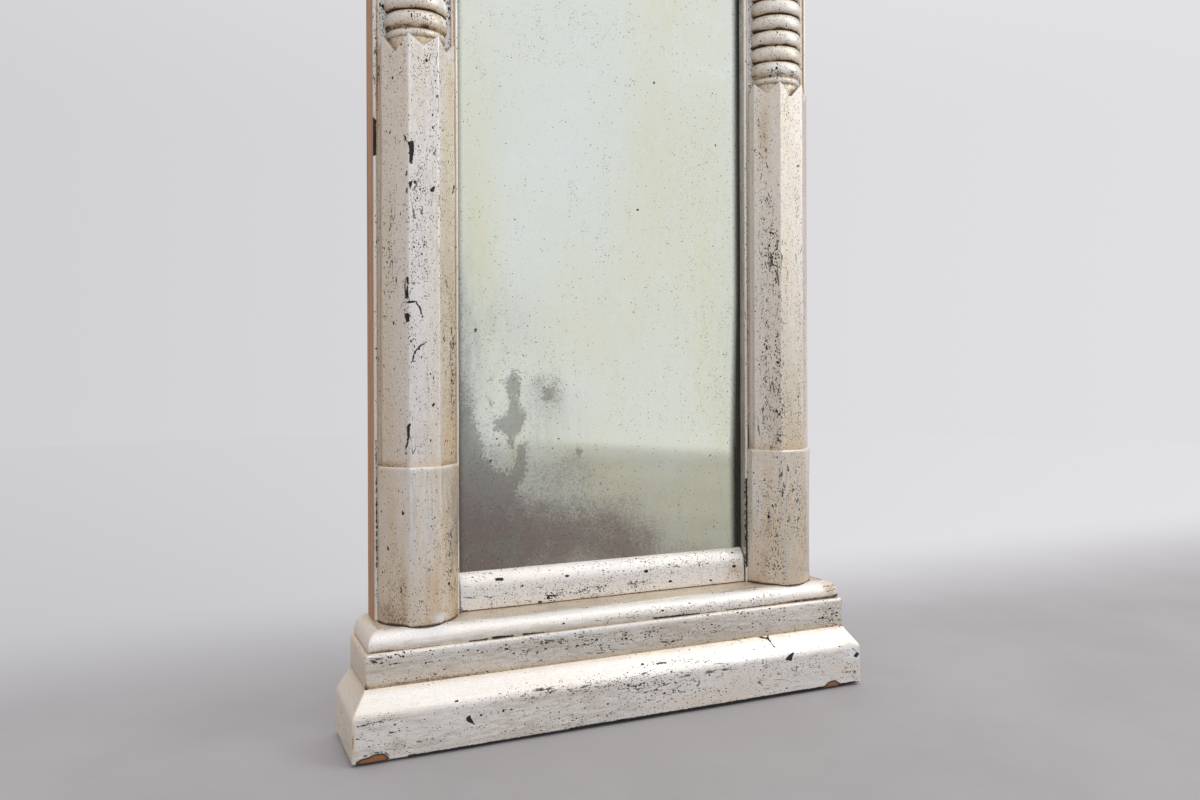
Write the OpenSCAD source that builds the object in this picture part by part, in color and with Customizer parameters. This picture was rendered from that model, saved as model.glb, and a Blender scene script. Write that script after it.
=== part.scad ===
// Pier mirror with half-octagonal columns, stepped plinth and matching entablature.
// Millimetres. The front faces -Y, and the origin is the centre of the base on the floor.

/* [Mirror opening] */
// Width of glass that shows between the two stiles
sight_w = 378; // [250:1:600]
// Thickness of the mirror plate
plate_t = 4; // [3:0.5:6]

/* [Stiles and beads] */
// Width of each stile
stile_w = 95; // [88:1:110]
// Thickness of each stile
stile_t = 38; // [36:1:46]
// Thickness of the lip that the plate lies against
lip_t = 8; // [6:0.5:9]
// Width of the rebate that the plate lies in
rebate_w = 14; // [12:1:18]
// Width of each edge bead, which also sets the column width
bead_w = 7; // [5:0.5:9]
// Thickness of each edge bead
bead_t = 4; // [3:0.5:5]
// Width of a bead's round nose
nose_w = 4; // [3:0.5:4.5]
// Thickness of the flat fillet beside the nose
fillet_t = 2.2; // [1:0.2:2.4]

/* [Columns] */
// Height of the plain foot below each shaft
foot_h = 171; // [120:1:240]
// Height of a shaft up to the points of its crown
shaft_h = 468; // [300:1:700]
// Depth of the shaft's flat side face
shaft_side = 15; // [11:1:18]
// Size of the shaft's 45 degree bevel, along X and along Y
shaft_bevel = 24; // [20:1:26]
// How far the foot stands out beside the shaft
foot_side = 4; // [2:0.5:4.5]
// How far the foot stands out in front of the shaft
foot_front = 3; // [1:0.5:5]
// How far the foot stands over the rounded edge of the cap below it
foot_lap = 6; // [0:1:8]
// Depth of the V cuts between the points of a crown
crown_d = 17; // [10:1:24]
// Thickness of the crown in front of the neck
crown_wall = 8.5; // [4:0.5:12]
// Height of the collar between a crown's points and the first ring
neck_h = 9; // [6:1:20]
// How far that collar stands out from the neck
collar_d = 2.5; // [1:0.5:4]
// Height of one turned ring
ring_pitch = 20; // [16:1:26]
// Number of turned rings on each column
ring_count = 10; // [6:1:14]
// Depth of the groove between two rings
groove_d = 4.5; // [2:0.5:6]

/* [Plinth and entablature] */
// Height of the plain face of the step moulding
step_h = 50; // [30:1:80]
// Height of the step moulding's sloped shoulder
shoulder_h = 23; // [18:1:30]
// Thickness of the step moulding
shoulder_d = 16; // [12:1:18]
// Radius of the worn edge between the step moulding's face and its slope
step_arris = 14; // [2:1:24]
// Height of the flat board that shows above the step moulding
fascia_h = 36; // [20:1:60]
// Radius of the board's rounded upper edge, which is also its ledge
ledge_d = 4; // [2:0.5:5]
// Height of the cap moulding
cap_h = 21; // [18:1:30]
// Height of the cap moulding's rounded edge
cap_round_h = 16; // [12:1:17]
// Depth of the cap moulding's rounded edge
cap_round_d = 12; // [8:1:12]
// Thickness of the boards that form the plinth and the frieze
board_t = 20; // [18:1:28]
// Thickness of the board that closes the top
top_board_t = 12; // [8:1:16]
// Width of a glue block behind the front board
glue_block_w = 60; // [30:5:80]
// How far a glue block stays below the board's upper edge
glue_block_drop = 10; // [4:1:20]

/* [Rails and sight mouldings] */
// Height of the moulding below and above the glass
sill_h = 43; // [34:1:60]
// How far that moulding stands out from the glass
sill_d = 10; // [8:0.5:12]
// Height of the moulding's rounded upper edge
sill_round_h = 20; // [14:1:26]
// Gap left at each end of that moulding
sill_gap = 1.5; // [0.5:0.5:3]
// How far the sight moulding overlaps the plate's edge
plate_lap = 11; // [8:1:16]
// Height of each rail's outer edge from the floor or the top
rail_foot = 20; // [18:1:28]
// Length of a rail's tenon
tenon_l = 35; // [25:1:45]
// Thickness of a rail's tenon
tenon_t = 8; // [6:1:10]
// Height of a tenon's shoulder above and below it
tenon_shoulder = 18; // [10:1:24]
// Radius of the pegs that lock the tenons
peg_r = 4; // [3:0.5:5]

/* [Back] */
// Thickness of the backboards
back_t = 10; // [8:0.5:12]
// Depth of the rebate that the backboards lie in
back_rebate_d = 14; // [12:0.5:15]
// Width of the ledge that carries the outer backboards' edges
back_ledge_w = 12; // [10:1:16]
// How far the backboards overlap the rails
back_lap = 28; // [20:1:31]
// Gap between neighbouring backboards
back_gap = 0.5; // [0.2:0.1:1]
// Radius of a nail's shank
nail_r = 1; // [0.8:0.1:1.5]
// Radius of a nail's head
nail_head_r = 3; // [2:0.5:4]
// Length of a nail below its head
nail_l = 20; // [16:1:21]
// Length of a glazing block
glaze_l = 60; // [40:5:90]

/* [Hangers] */
// Distance of each hanger's middle from the stile
hanger_inset = 69; // [32:1:90]
// Distance of the ring's axis below the upper edge of the top rail
hanger_drop = 40; // [30:1:46]
// Distance between a strap's two screws
screw_pitch = 14; // [10:1:16]
// Distance from the strap's lower end to the nearer screw
screw_end = 8; // [6:1:10]
// Width of the hanger's strap
strap_w = 20; // [16:1:24]
// Length of the strap below the ring's axis
strap_l = 52; // [50:1:56]
// Thickness of the strap
strap_t = 2; // [1.5:0.5:2.5]
// Radius of the ring's wire
wire_r = 2; // [1.5:0.5:2]
// Radius of the ring, to the middle of its wire
loop_r = 18; // [16:1:20]
// Length of the barrel that holds the ring's bar
barrel_l = 16; // [12:1:18]
// Wall of the barrel
barrel_wall = 1.5; // [1:0.5:2]
// Gap between the hanging ring and its strap
loop_gap = 1; // [0.8:0.1:1.5]
// Radius of a screw's shank
screw_r = 1.8; // [1.5:0.1:2]
// Radius of a screw's countersunk head
screw_head_r = 3.5; // [3:0.1:4]
// Length of a screw
screw_l = 18; // [12:1:20]

/* [Hidden] */

// Colours
silver = [0.75, 0.70, 0.63];
pine = [0.70, 0.47, 0.29];
old_pine = [0.62, 0.47, 0.33];
mirror_green = [0.80, 0.87, 0.80];
iron = [0.25, 0.23, 0.21];
peg_wood = [0.52, 0.38, 0.26];

// Fits: round pieces in their holes, the neck in its crown and how far it goes below the cuts, the
// ring's bar in its barrel, and the plate in its rebate
pin_gap = 0.05;
neck_gap = 0.2;
neck_seat = 3;
bar_gap = 0.05;
plate_gap = 2;
// A cut runs this far past the face that it opens
over = 1;
// Facets of round pieces, and steps along a moulding's rounded edge
round_fn = 96;
small_fn = 48;
arc_steps = 10;

// Depths behind the front, measured forward from the back plane
lip_y = stile_t - lip_t;
shaft_out = shaft_side + shaft_bevel;
foot_y = stile_t + shaft_out + foot_front;
cap_y = foot_y - foot_lap + cap_round_d;
board_y = cap_y + ledge_d;
plinth_d = board_y + shoulder_d;

// Half widths from the middle
stile_in = sight_w / 2;
stile_x = stile_in + stile_w;
board_x = stile_x + board_t;
cap_x = board_x - ledge_d;
plinth_x = board_x + shoulder_d;
column_x = stile_in + stile_w / 2;
column_w = stile_w - 2 * bead_w;

// Middle of each hanger
hanger_x = stile_in - hanger_inset;

// Heights from the floor
fascia_z = step_h + shoulder_h;
cap_z = fascia_z + fascia_h;
base_h = cap_z + cap_h;
shaft_z = base_h + foot_h;
crown_z = shaft_z + shaft_h;
total_h = 2 * (crown_z + neck_h) + ring_count * ring_pitch;
rail_z = base_h + sill_h - plate_lap;
back_z = rail_z - back_lap;
hanger_z = total_h - rail_foot - hanger_drop;

// Radius of the neck, kept inside the shaft's faces
neck_r = min(shaft_out, column_w / 2, (column_w / 2 + shaft_side) / sqrt(2)) - crown_wall;

// Half width of a bevelled face, how far a crown cut runs in from its face, and the neck's lower end
crown_half = shaft_bevel / sqrt(2);
crown_reach = neck_r;
neck_z = crown_z - crown_d - neck_seat;

// Depth of the hanger ring's axis in front of the back plane
loop_y = back_rebate_d - strap_t - loop_gap - wire_r;
barrel_r = wire_r + bar_gap + barrel_wall;
screw_head_h = screw_head_r - screw_r;
screw_drops = [strap_l - screw_end - screw_pitch, strap_l - screw_end];

// Points on a quarter arc that leaves a vertical face and climbs h while going in d
function shoulder(d, h, steps) =
    let (turn = 2 * atan(d / h), r = h / sin(turn))
    [for (i = [0 : steps]) [r * (1 - cos(turn * i / steps)), r * sin(turn * i / steps)]];

// Points from a vertical face, round a worn edge of radius r, up a slope that climbs h while going in d
function eased_slope(d, h, r, steps) =
    let (turn = atan(d / h), drop = r * tan(turn / 2))
    concat(
        [for (i = [0 : steps]) [r * (1 - cos(turn * i / steps)), r * sin(turn * i / steps) - drop]],
        [[d, h]]
    );

// Moves the back plane to its place, so that the origin is the middle of the base
module seat() {
    translate([0, plinth_d / 2, 0])
        children();
}

module flip_x() {
    mirror([1, 0, 0])
        children();
}

module flip_z() {
    translate([0, 0, total_h])
        mirror([0, 0, 1])
            children();
}

// Prism between two corners, with y given as depth forward of the back plane
module slab(x0, x1, y0, y1, z0, z1) {
    translate([x0, -y1, z0])
        cube([x1 - x0, y1 - y0, z1 - z0]);
}

// Cylinder that runs forward from depth y0 to depth y1
module forward_rod(x, z, y0, y1, r) {
    translate([x, -y0, z])
        rotate([90, 0, 0])
            cylinder(r = r, h = y1 - y0, $fn = small_fn);
}

// Extrudes a profile of depth and height sideways, from x0 to x1
module sideways(x0, x1, points) {
    translate([x0, 0, 0])
        rotate([90, 0, 90])
            linear_extrude(height = x1 - x0)
                polygon([for (p = points) [-p[0], p[1]]]);
}

// Two pegs through each tenon, as x and z at the bottom rail
peg_shares = [0.3, 0.7];
tenon_z0 = rail_foot + tenon_shoulder;
tenon_z1 = rail_z - tenon_shoulder;
peg_places = [for (share = peg_shares)
    [stile_in + tenon_l / 2, tenon_z0 + share * (tenon_z1 - tenon_z0)]];

module both_rails() {
    children();
    flip_z()
        children();
}

module both_sides() {
    children();
    flip_x()
        children();
}

module peg_set(gap, past) {
    both_sides()
        both_rails()
            for (p = peg_places)
                forward_rod(p[0], p[1], -past, lip_y + gap, peg_r + gap);
}

// Nail places: at both ends of each board, and along the stiles
back_count = 3;
back_w = stile_in + rebate_w + back_ledge_w - back_gap;
back_pitch = 2 * back_w / back_count;
nail_inset = 35;
end_nails = [for (i = [0 : back_count - 1], side = [-1, 1])
    [-back_w + back_pitch * (i + 0.5) + side * (back_pitch / 2 - nail_inset), back_z + back_lap / 2]];
edge_nail_x = stile_in + rebate_w + back_ledge_w / 2;
edge_nail_count = 5;
edge_nail_z = 300;
edge_nails = [for (i = [0 : edge_nail_count - 1], side = [-1, 1])
    [side * edge_nail_x, edge_nail_z + (total_h - 2 * edge_nail_z) * i / (edge_nail_count - 1)]];
nail_head_t = 1;
nail_top_y = back_rebate_d - back_t;

module nail_holes() {
    both_rails()
        for (p = end_nails)
            forward_rod(p[0], p[1], nail_top_y - over, nail_top_y + nail_l + pin_gap, nail_r + pin_gap);
    for (p = edge_nails)
        forward_rod(p[0], p[1], nail_top_y - over, nail_top_y + nail_l + pin_gap, nail_r + pin_gap);
}

module nail(p) {
    forward_rod(p[0], p[1], nail_top_y, nail_top_y + nail_l, nail_r);
    forward_rod(p[0], p[1], nail_top_y - nail_head_t, nail_top_y, nail_head_r);
}

module tenon(gap) {
    mid_y = (lip_y + back_rebate_d) / 2;
    slab(stile_in - over, stile_in + tenon_l + gap, mid_y - tenon_t / 2, mid_y + tenon_t / 2,
        tenon_z0, tenon_z1);
}

// Carcass

module stile() {
    color(pine)
        difference() {
            slab(stile_in, stile_x, 0, stile_t, 0, total_h - top_board_t);
            slab(stile_in - over, stile_in + rebate_w, -over, lip_y, rail_z, total_h - rail_z);
            slab(stile_in - over, stile_in + rebate_w + back_ledge_w, -over, back_rebate_d,
                back_z, total_h - back_z);
            both_rails()
                tenon(pin_gap);
            peg_set(pin_gap, over);
            nail_holes();
        }
}

module stile_left() {
    seat()
        flip_x()
            stile();
}

module stile_right() {
    seat()
        stile();
}

module rail_blank() {
    difference() {
        union() {
            slab(-stile_in, stile_in, back_rebate_d, stile_t, rail_foot, base_h);
            slab(-stile_in, stile_in, back_rebate_d, lip_y, rail_foot, rail_z);
            both_sides()
                tenon(0);
        }
        peg_set(pin_gap, over);
        nail_holes();
    }
}

module bottom_rail() {
    color(pine)
        seat()
            rail_blank();
}

module top_rail() {
    color(pine)
        seat()
            difference() {
                flip_z()
                    rail_blank();
                both_sides()
                    for (drop = screw_drops)
                        forward_rod(hanger_x, hanger_z - drop, back_rebate_d - over,
                            back_rebate_d - strap_t + screw_l + pin_gap, screw_r + pin_gap);
            }
}

module tenon_pegs() {
    color(peg_wood)
        seat()
            peg_set(0, 0);
}

// Back

module backboard(i) {
    color(old_pine)
        seat()
            difference() {
                slab(-back_w + back_pitch * i + back_gap / 2, -back_w + back_pitch * (i + 1) - back_gap / 2,
                    nail_top_y, back_rebate_d, back_z + back_gap, total_h - back_z - back_gap);
                nail_holes();
            }
}

module backboard_left() {
    backboard(0);
}

module backboard_middle() {
    backboard((back_count - 1) / 2);
}

module backboard_right() {
    backboard(back_count - 1);
}

module backboard_nails() {
    color(iron)
        seat() {
            both_rails()
                for (p = end_nails)
                    nail(p);
            for (p = edge_nails)
                nail(p);
        }
}

// Small blocks wedge the plate against its lip, and two more stand on each rail
module glazing_blocks() {
    block_w = rebate_w - plate_gap;
    block_x = stile_in + rebate_w;
    ends_z = rail_z + 2 * glaze_l;
    count = 4;
    color(old_pine)
        seat() {
            both_sides()
                for (i = [0 : count - 1])
                    slab(block_x - block_w, block_x, back_rebate_d, lip_y - plate_t,
                        ends_z + (total_h - 2 * ends_z - glaze_l) * i / (count - 1),
                        ends_z + (total_h - 2 * ends_z - glaze_l) * i / (count - 1) + glaze_l);
            both_rails()
                both_sides()
                    slab(stile_in / 2 - glaze_l / 2, stile_in / 2 + glaze_l / 2, back_rebate_d,
                        lip_y - plate_t, rail_z, rail_z + block_w);
        }
}

module mirror_plate() {
    color(mirror_green)
        seat()
            slab(-stile_in - rebate_w + plate_gap, stile_in + rebate_w - plate_gap, lip_y - plate_t, lip_y,
                rail_z, total_h - rail_z - plate_gap);
}

// Sight mouldings

sill_face = lip_y + sill_d;
sill_edge_z = base_h + sill_h - sill_round_h;
sill_points = concat(
    [[lip_y, base_h], [sill_face, base_h]],
    [for (p = shoulder(sill_d, sill_round_h, arc_steps)) [sill_face - p[0], sill_edge_z + p[1]]]
);

module sill() {
    color(silver)
        sideways(-stile_in + sill_gap, stile_in - sill_gap, sill_points);
}

module sill_moulding() {
    seat()
        sill();
}

module head_moulding() {
    seat()
        flip_z()
            sill();
}

// Edge beads: a round nose at the outer edge, and a flat fillet beside the column
bead_points = concat(
    [[0, 0]],
    [for (a = [180 : -15 : 0]) [nose_w / 2 + nose_w / 2 * cos(a), fillet_t + (bead_t - fillet_t) * sin(a)]],
    [[bead_w, fillet_t], [bead_w, 0]]
);

module bead(z0, z1) {
    color(silver)
        translate([0, -stile_t, z0])
            linear_extrude(height = z1 - z0)
                polygon([for (p = bead_points) [p[0], -p[1]]]);
}

module outer_bead() {
    translate([stile_x, 0, 0])
        flip_x()
            bead(base_h, total_h - base_h);
}

module inner_bead() {
    translate([stile_in, 0, 0])
        bead(base_h, total_h - base_h);
}

module outer_bead_left() {
    seat()
        flip_x()
            outer_bead();
}

module outer_bead_right() {
    seat()
        outer_bead();
}

module inner_bead_left() {
    seat()
        flip_x()
            inner_bead();
}

module inner_bead_right() {
    seat()
        inner_bead();
}

// Columns

// Half octagon in plan, grown by side_grow beside and front_grow in front; its front face keeps its width
function half_octagon(side_grow, front_grow) =
    let (half = column_w / 2 + side_grow, out = shaft_out + front_grow, bevel = shaft_bevel + side_grow)
    [[-half, 0], [-half, -out + bevel], [-half + bevel, -out],
     [half - bevel, -out], [half, -out + bevel], [half, 0]];

function half_ellipse(half, out) =
    [for (a = [180 : 6 : 360]) [half * cos(a), out * sin(a)]];

// V cut into one face of the crown: the face's middle, its direction and half its width
module crown_cut(x, y, turn, half) {
    depth = crown_d * half / crown_half;
    translate([x, y, crown_z])
        rotate([0, 0, turn])
            translate([0, crown_reach, 0])
                rotate([90, 0, 0])
                    linear_extrude(height = crown_reach + over)
                        polygon([[-half, 0], [0, -depth], [half, 0], [half, over], [-half, over]]);
}

module shaft() {
    half = column_w / 2;
    bevel_mid = shaft_side + shaft_bevel / 2;
    color(silver)
        translate([column_x, -stile_t, 0])
            difference() {
                translate([0, 0, shaft_z])
                    linear_extrude(height = shaft_h)
                        polygon(half_octagon(0, 0));
                translate([0, 0, neck_z])
                    cylinder(r = neck_r + neck_gap, h = crown_z - neck_z + over, $fn = round_fn);
                crown_cut(0, -shaft_out, 0, half - shaft_bevel);
                crown_cut(-half + shaft_bevel / 2, -bevel_mid, -45, crown_half);
                crown_cut(half - shaft_bevel / 2, -bevel_mid, 45, crown_half);
                crown_cut(-half, 0, -90, shaft_side);
                crown_cut(half, 0, 90, shaft_side);
            }
}

// The foot is octagonal above and fades into a half round below; it is cut to fit over the beads
module foot() {
    slice = 0.5;
    half = column_w / 2;
    color(silver)
        translate([column_x, -stile_t, 0])
            difference() {
                hull() {
                    translate([0, 0, shaft_z - slice])
                        linear_extrude(height = slice)
                            polygon(half_octagon(foot_side, foot_front));
                    translate([0, 0, base_h])
                        linear_extrude(height = slice)
                            polygon(half_ellipse(half + foot_side, shaft_out + foot_front));
                }
                for (side = [-1, 1])
                    translate([side * (half + bead_w), -bead_t / 2 + over / 2, (base_h + shaft_z) / 2])
                        cube([2 * bead_w, bead_t + over, foot_h + 2 * over], center = true);
            }
}

// Radius along the turning: a plain neck and a collar at each end, and round rings between
ring_steps = 8;
first_ring_z = crown_z + neck_h;
last_ring_z = first_ring_z + ring_count * ring_pitch;

function bulge(z, h, out) =
    [for (k = [1 : ring_steps]) [neck_r + out * sin(180 * k / ring_steps), z + h * k / ring_steps]];

ring_points = concat(
    [[neck_r, crown_z]],
    bulge(crown_z, neck_h, collar_d),
    [for (i = [0 : ring_count - 1]) each bulge(first_ring_z + i * ring_pitch, ring_pitch, groove_d)],
    bulge(last_ring_z, neck_h, collar_d)
);

module ring_turning() {
    color(silver)
        translate([column_x, -stile_t, 0])
            difference() {
                rotate_extrude($fn = round_fn)
                    polygon(concat([[0, neck_z], [neck_r, neck_z]], ring_points,
                        [[neck_r, total_h - neck_z], [0, total_h - neck_z]]));
                translate([-column_w, 0, neck_z - over])
                    cube([2 * column_w, 2 * column_w, total_h]);
            }
}

module foot_left() {
    seat()
        flip_x()
            foot();
}

module foot_right() {
    seat()
        foot();
}

module capital_left() {
    seat()
        flip_z()
            flip_x()
                foot();
}

module capital_right() {
    seat()
        flip_z()
            foot();
}

module lower_shaft_left() {
    seat()
        flip_x()
            shaft();
}

module lower_shaft_right() {
    seat()
        shaft();
}

module upper_shaft_left() {
    seat()
        flip_z()
            flip_x()
                shaft();
}

module upper_shaft_right() {
    seat()
        flip_z()
            shaft();
}

module ring_turning_left() {
    seat()
        flip_x()
            ring_turning();
}

module ring_turning_right() {
    seat()
        ring_turning();
}

// Plinth and entablature: the same boards and mouldings, upright below and upside down above

step_points = concat(
    [[0, 0]],
    [for (p = eased_slope(shoulder_d, shoulder_h, step_arris, arc_steps)) [p[0], step_h + p[1]]],
    [[shoulder_d, 0]]
);
cap_points = concat(
    [[0, cap_z]],
    [for (p = shoulder(cap_round_d, cap_round_h, arc_steps)) [p[0], base_h - cap_round_h + p[1]]]
);
board_points = concat(
    [[0, 0]],
    [for (a = [0 : 15 : 90]) [ledge_d * (1 - cos(a)), cap_z - ledge_d + ledge_d * sin(a)]]
);

// Strip along the front: profile points are depth behind the face and height, back is the strip's
// depth, and its ends are mitred for as deep as the returns are
module front_strip(points, half, face, back, mitre) {
    top = points[len(points) - 1];
    inner = half - mitre;
    intersection() {
        sideways(-half, half, concat([for (p = points) [face - p[0], p[1]]],
            [[face - back, top[1]], [face - back, points[0][1]]]));
        linear_extrude(height = total_h)
            polygon([[-half, -face], [half, -face], [inner, -face + mitre], [inner, -face + back],
                [-inner, -face + back], [-inner, -face + mitre]]);
    }
}

// Return along the right side, from its mitre to the back plane
module side_strip(points, half, face, back) {
    top = points[len(points) - 1];
    intersection() {
        rotate([90, 0, 0])
            linear_extrude(height = face)
                polygon(concat([for (p = points) [half - p[0], p[1]]],
                    [[half - back, top[1]], [half - back, points[0][1]]]));
        linear_extrude(height = total_h)
            polygon([[half, 0], [half, -face], [half - back, -face + back], [half - back, 0]]);
    }
}

module step_front() {
    color(silver)
        front_strip(step_points, plinth_x, plinth_d, shoulder_d, shoulder_d);
}

module step_side() {
    color(silver)
        side_strip(step_points, plinth_x, plinth_d, shoulder_d);
}

module board_front() {
    color(silver)
        front_strip(board_points, board_x, board_y, board_t, board_t);
}

module board_side() {
    color(silver)
        side_strip(board_points, board_x, board_y, board_t);
}

// The cap's front strip reaches back to the stiles, and its returns lie against their sides
module cap_front() {
    color(silver)
        front_strip(cap_points, cap_x, cap_y, cap_y - stile_t, cap_x - stile_x);
}

module cap_side() {
    color(silver)
        side_strip(cap_points, cap_x, cap_y, cap_x - stile_x);
}

// Glue blocks between the front board and the carcass
module blocks() {
    color(old_pine)
        for (x = [-column_x, 0, column_x])
            slab(x - glue_block_w / 2, x + glue_block_w / 2, stile_t, board_y - board_t,
                rail_foot, cap_z - glue_block_drop);
}

module plinth_board_front() {
    seat()
        board_front();
}

module plinth_board_left() {
    seat()
        flip_x()
            board_side();
}

module plinth_board_right() {
    seat()
        board_side();
}

module plinth_step_front() {
    seat()
        step_front();
}

module plinth_step_left() {
    seat()
        flip_x()
            step_side();
}

module plinth_step_right() {
    seat()
        step_side();
}

module plinth_cap_front() {
    seat()
        cap_front();
}

module plinth_cap_left() {
    seat()
        flip_x()
            cap_side();
}

module plinth_cap_right() {
    seat()
        cap_side();
}

module plinth_blocks() {
    seat()
        blocks();
}

module frieze_board_front() {
    seat()
        flip_z()
            board_front();
}

module frieze_board_left() {
    seat()
        flip_z()
            flip_x()
                board_side();
}

module frieze_board_right() {
    seat()
        flip_z()
            board_side();
}

module cornice_front() {
    seat()
        flip_z()
            step_front();
}

module cornice_left() {
    seat()
        flip_z()
            flip_x()
                step_side();
}

module cornice_right() {
    seat()
        flip_z()
            step_side();
}

module architrave_front() {
    seat()
        flip_z()
            cap_front();
}

module architrave_left() {
    seat()
        flip_z()
            flip_x()
                cap_side();
}

module architrave_right() {
    seat()
        flip_z()
            cap_side();
}

module frieze_blocks() {
    seat()
        flip_z()
            blocks();
}

module top_board() {
    color(old_pine)
        seat()
            slab(-stile_x, stile_x, 0, board_y - board_t, total_h - top_board_t, total_h);
}

// Hangers: a strap screwed to the top rail, with a D ring that swings in its barrel

module hanger_plate() {
    color(iron)
        translate([hanger_x, 0, hanger_z])
            difference() {
                union() {
                    slab(-strap_w / 2, strap_w / 2, back_rebate_d - strap_t, back_rebate_d,
                        -strap_l, -barrel_r);
                    slab(-barrel_l / 2, barrel_l / 2, loop_y, back_rebate_d, -barrel_r, barrel_r);
                    translate([-barrel_l / 2, -loop_y, 0])
                        rotate([0, 90, 0])
                            cylinder(r = barrel_r, h = barrel_l, $fn = small_fn);
                }
                translate([-barrel_l, -loop_y, 0])
                    rotate([0, 90, 0])
                        cylinder(r = wire_r + bar_gap, h = 2 * barrel_l, $fn = small_fn);
                for (drop = screw_drops)
                    screw(drop, pin_gap);
            }
}

// Countersunk screw whose head is flush with the strap
module screw(drop, gap) {
    face_y = back_rebate_d - strap_t;
    translate([0, -face_y, -drop])
        rotate([90, 0, 0]) {
            cylinder(r1 = screw_head_r + gap, r2 = screw_r + gap, h = screw_head_h, $fn = small_fn);
            cylinder(r = screw_r + gap, h = screw_l, $fn = small_fn);
        }
}

module hanger_screws() {
    slot_w = 0.8;
    slot_t = 0.8;
    color(iron)
        seat()
            both_sides()
                translate([hanger_x, 0, hanger_z])
                    for (drop = screw_drops)
                        difference() {
                            screw(drop, 0);
                            slab(-screw_head_r, screw_head_r, back_rebate_d - strap_t - over,
                                back_rebate_d - strap_t + slot_t, -drop - slot_w / 2, -drop + slot_w / 2);
                        }
}

module hanger_ring() {
    color(iron)
        translate([hanger_x, -loop_y, hanger_z]) {
            translate([-loop_r, 0, 0])
                rotate([0, 90, 0])
                    cylinder(r = wire_r, h = 2 * loop_r, $fn = small_fn);
            for (side = [-1, 1])
                translate([side * loop_r, 0, 0])
                    sphere(r = wire_r, $fn = small_fn);
            rotate([90, 0, 0])
                rotate([0, 0, 180])
                    rotate_extrude(angle = 180, $fn = small_fn)
                        translate([loop_r, 0])
                            circle(r = wire_r, $fn = small_fn);
        }
}

module hanger_plate_left() {
    seat()
        flip_x()
            hanger_plate();
}

module hanger_plate_right() {
    seat()
        hanger_plate();
}

module hanger_ring_left() {
    seat()
        flip_x()
            hanger_ring();
}

module hanger_ring_right() {
    seat()
        hanger_ring();
}

stile_left();
stile_right();
bottom_rail();
top_rail();
tenon_pegs();
backboard_left();
backboard_middle();
backboard_right();
backboard_nails();
glazing_blocks();
mirror_plate();
sill_moulding();
head_moulding();
outer_bead_left();
outer_bead_right();
inner_bead_left();
inner_bead_right();
foot_left();
foot_right();
lower_shaft_left();
lower_shaft_right();
ring_turning_left();
ring_turning_right();
upper_shaft_left();
upper_shaft_right();
capital_left();
capital_right();
plinth_board_front();
plinth_board_left();
plinth_board_right();
plinth_step_front();
plinth_step_left();
plinth_step_right();
plinth_cap_front();
plinth_cap_left();
plinth_cap_right();
plinth_blocks();
frieze_board_front();
frieze_board_left();
frieze_board_right();
cornice_front();
cornice_left();
cornice_right();
architrave_front();
architrave_left();
architrave_right();
frieze_blocks();
top_board();
hanger_plate_left();
hanger_plate_right();
hanger_ring_left();
hanger_ring_right();
hanger_screws();
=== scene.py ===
import math

import bpy
import numpy as np
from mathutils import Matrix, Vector


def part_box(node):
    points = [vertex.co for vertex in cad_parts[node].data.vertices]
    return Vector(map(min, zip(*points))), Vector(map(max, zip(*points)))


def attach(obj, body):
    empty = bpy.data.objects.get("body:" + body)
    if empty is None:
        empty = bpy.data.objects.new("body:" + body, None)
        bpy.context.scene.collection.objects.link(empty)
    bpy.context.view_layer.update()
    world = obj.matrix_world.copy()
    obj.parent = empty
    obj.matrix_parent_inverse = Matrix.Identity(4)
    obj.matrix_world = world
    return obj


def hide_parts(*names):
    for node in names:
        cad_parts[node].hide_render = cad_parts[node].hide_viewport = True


bl_info = {
    "name": "Pier mirror",
    "version": (1, 0, 0),
    "blender": (4, 5, 0),
    "location": "3D View > Sidebar > Pier mirror",
    "description": "Builds a silvered pier mirror around its joiner's model",
    "category": "Add Mesh",
}

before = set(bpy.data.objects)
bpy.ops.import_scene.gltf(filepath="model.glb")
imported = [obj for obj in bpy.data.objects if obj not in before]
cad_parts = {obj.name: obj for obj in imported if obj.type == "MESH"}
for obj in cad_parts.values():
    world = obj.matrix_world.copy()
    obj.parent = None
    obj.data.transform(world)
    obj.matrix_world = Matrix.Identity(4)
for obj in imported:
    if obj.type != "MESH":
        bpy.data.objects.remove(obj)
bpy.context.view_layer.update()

MM = 0.001


# Places taken from the frame

def low(node):
    """Lowest corner of a node of the joiner's model."""
    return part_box(node)[0]


def high(node):
    """Highest corner of a node of the joiner's model."""
    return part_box(node)[1]


BACK = high("stile_left").y
TOTAL_H = high("top_board").z
STILE_FRONT = BACK - low("stile_left").y
STILE_IN = -high("stile_left").x
STILE_OUT = -low("stile_left").x
COLUMN_X = (high("lower_shaft_right").x + low("lower_shaft_right").x) / 2
COLUMN_HALF = (high("lower_shaft_right").x - low("lower_shaft_right").x) / 2
SHAFT_OUT = BACK - STILE_FRONT - low("lower_shaft_right").y
FOOT_HALF = (high("foot_right").x - low("foot_right").x) / 2
FOOT_OUT = BACK - STILE_FRONT - low("foot_right").y
BASE_Z = high("plinth_cap_front").z
FOOT_TOP = high("foot_right").z
CROWN_Z = high("lower_shaft_right").z
TURN_LOW = low("ring_turning_right").z
BEAD_W = high("inner_bead_right").x - low("inner_bead_right").x
BEAD_T = BACK - STILE_FRONT - low("inner_bead_right").y
TURN_R = (high("ring_turning_right").x - low("ring_turning_right").x) / 2
STEP_HALF = high("plinth_step_right").x
STEP_TOP = high("plinth_step_front").z
BOARD_HALF = high("plinth_board_right").x
BOARD_TOP = high("plinth_board_front").z
CAP_HALF = high("plinth_cap_right").x
CAP_OUT = BACK - low("plinth_cap_front").y
# Spacing of the points on faces that lie against another piece
COARSE = 20 * MM


# Sizes and colours that a user would change

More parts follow.
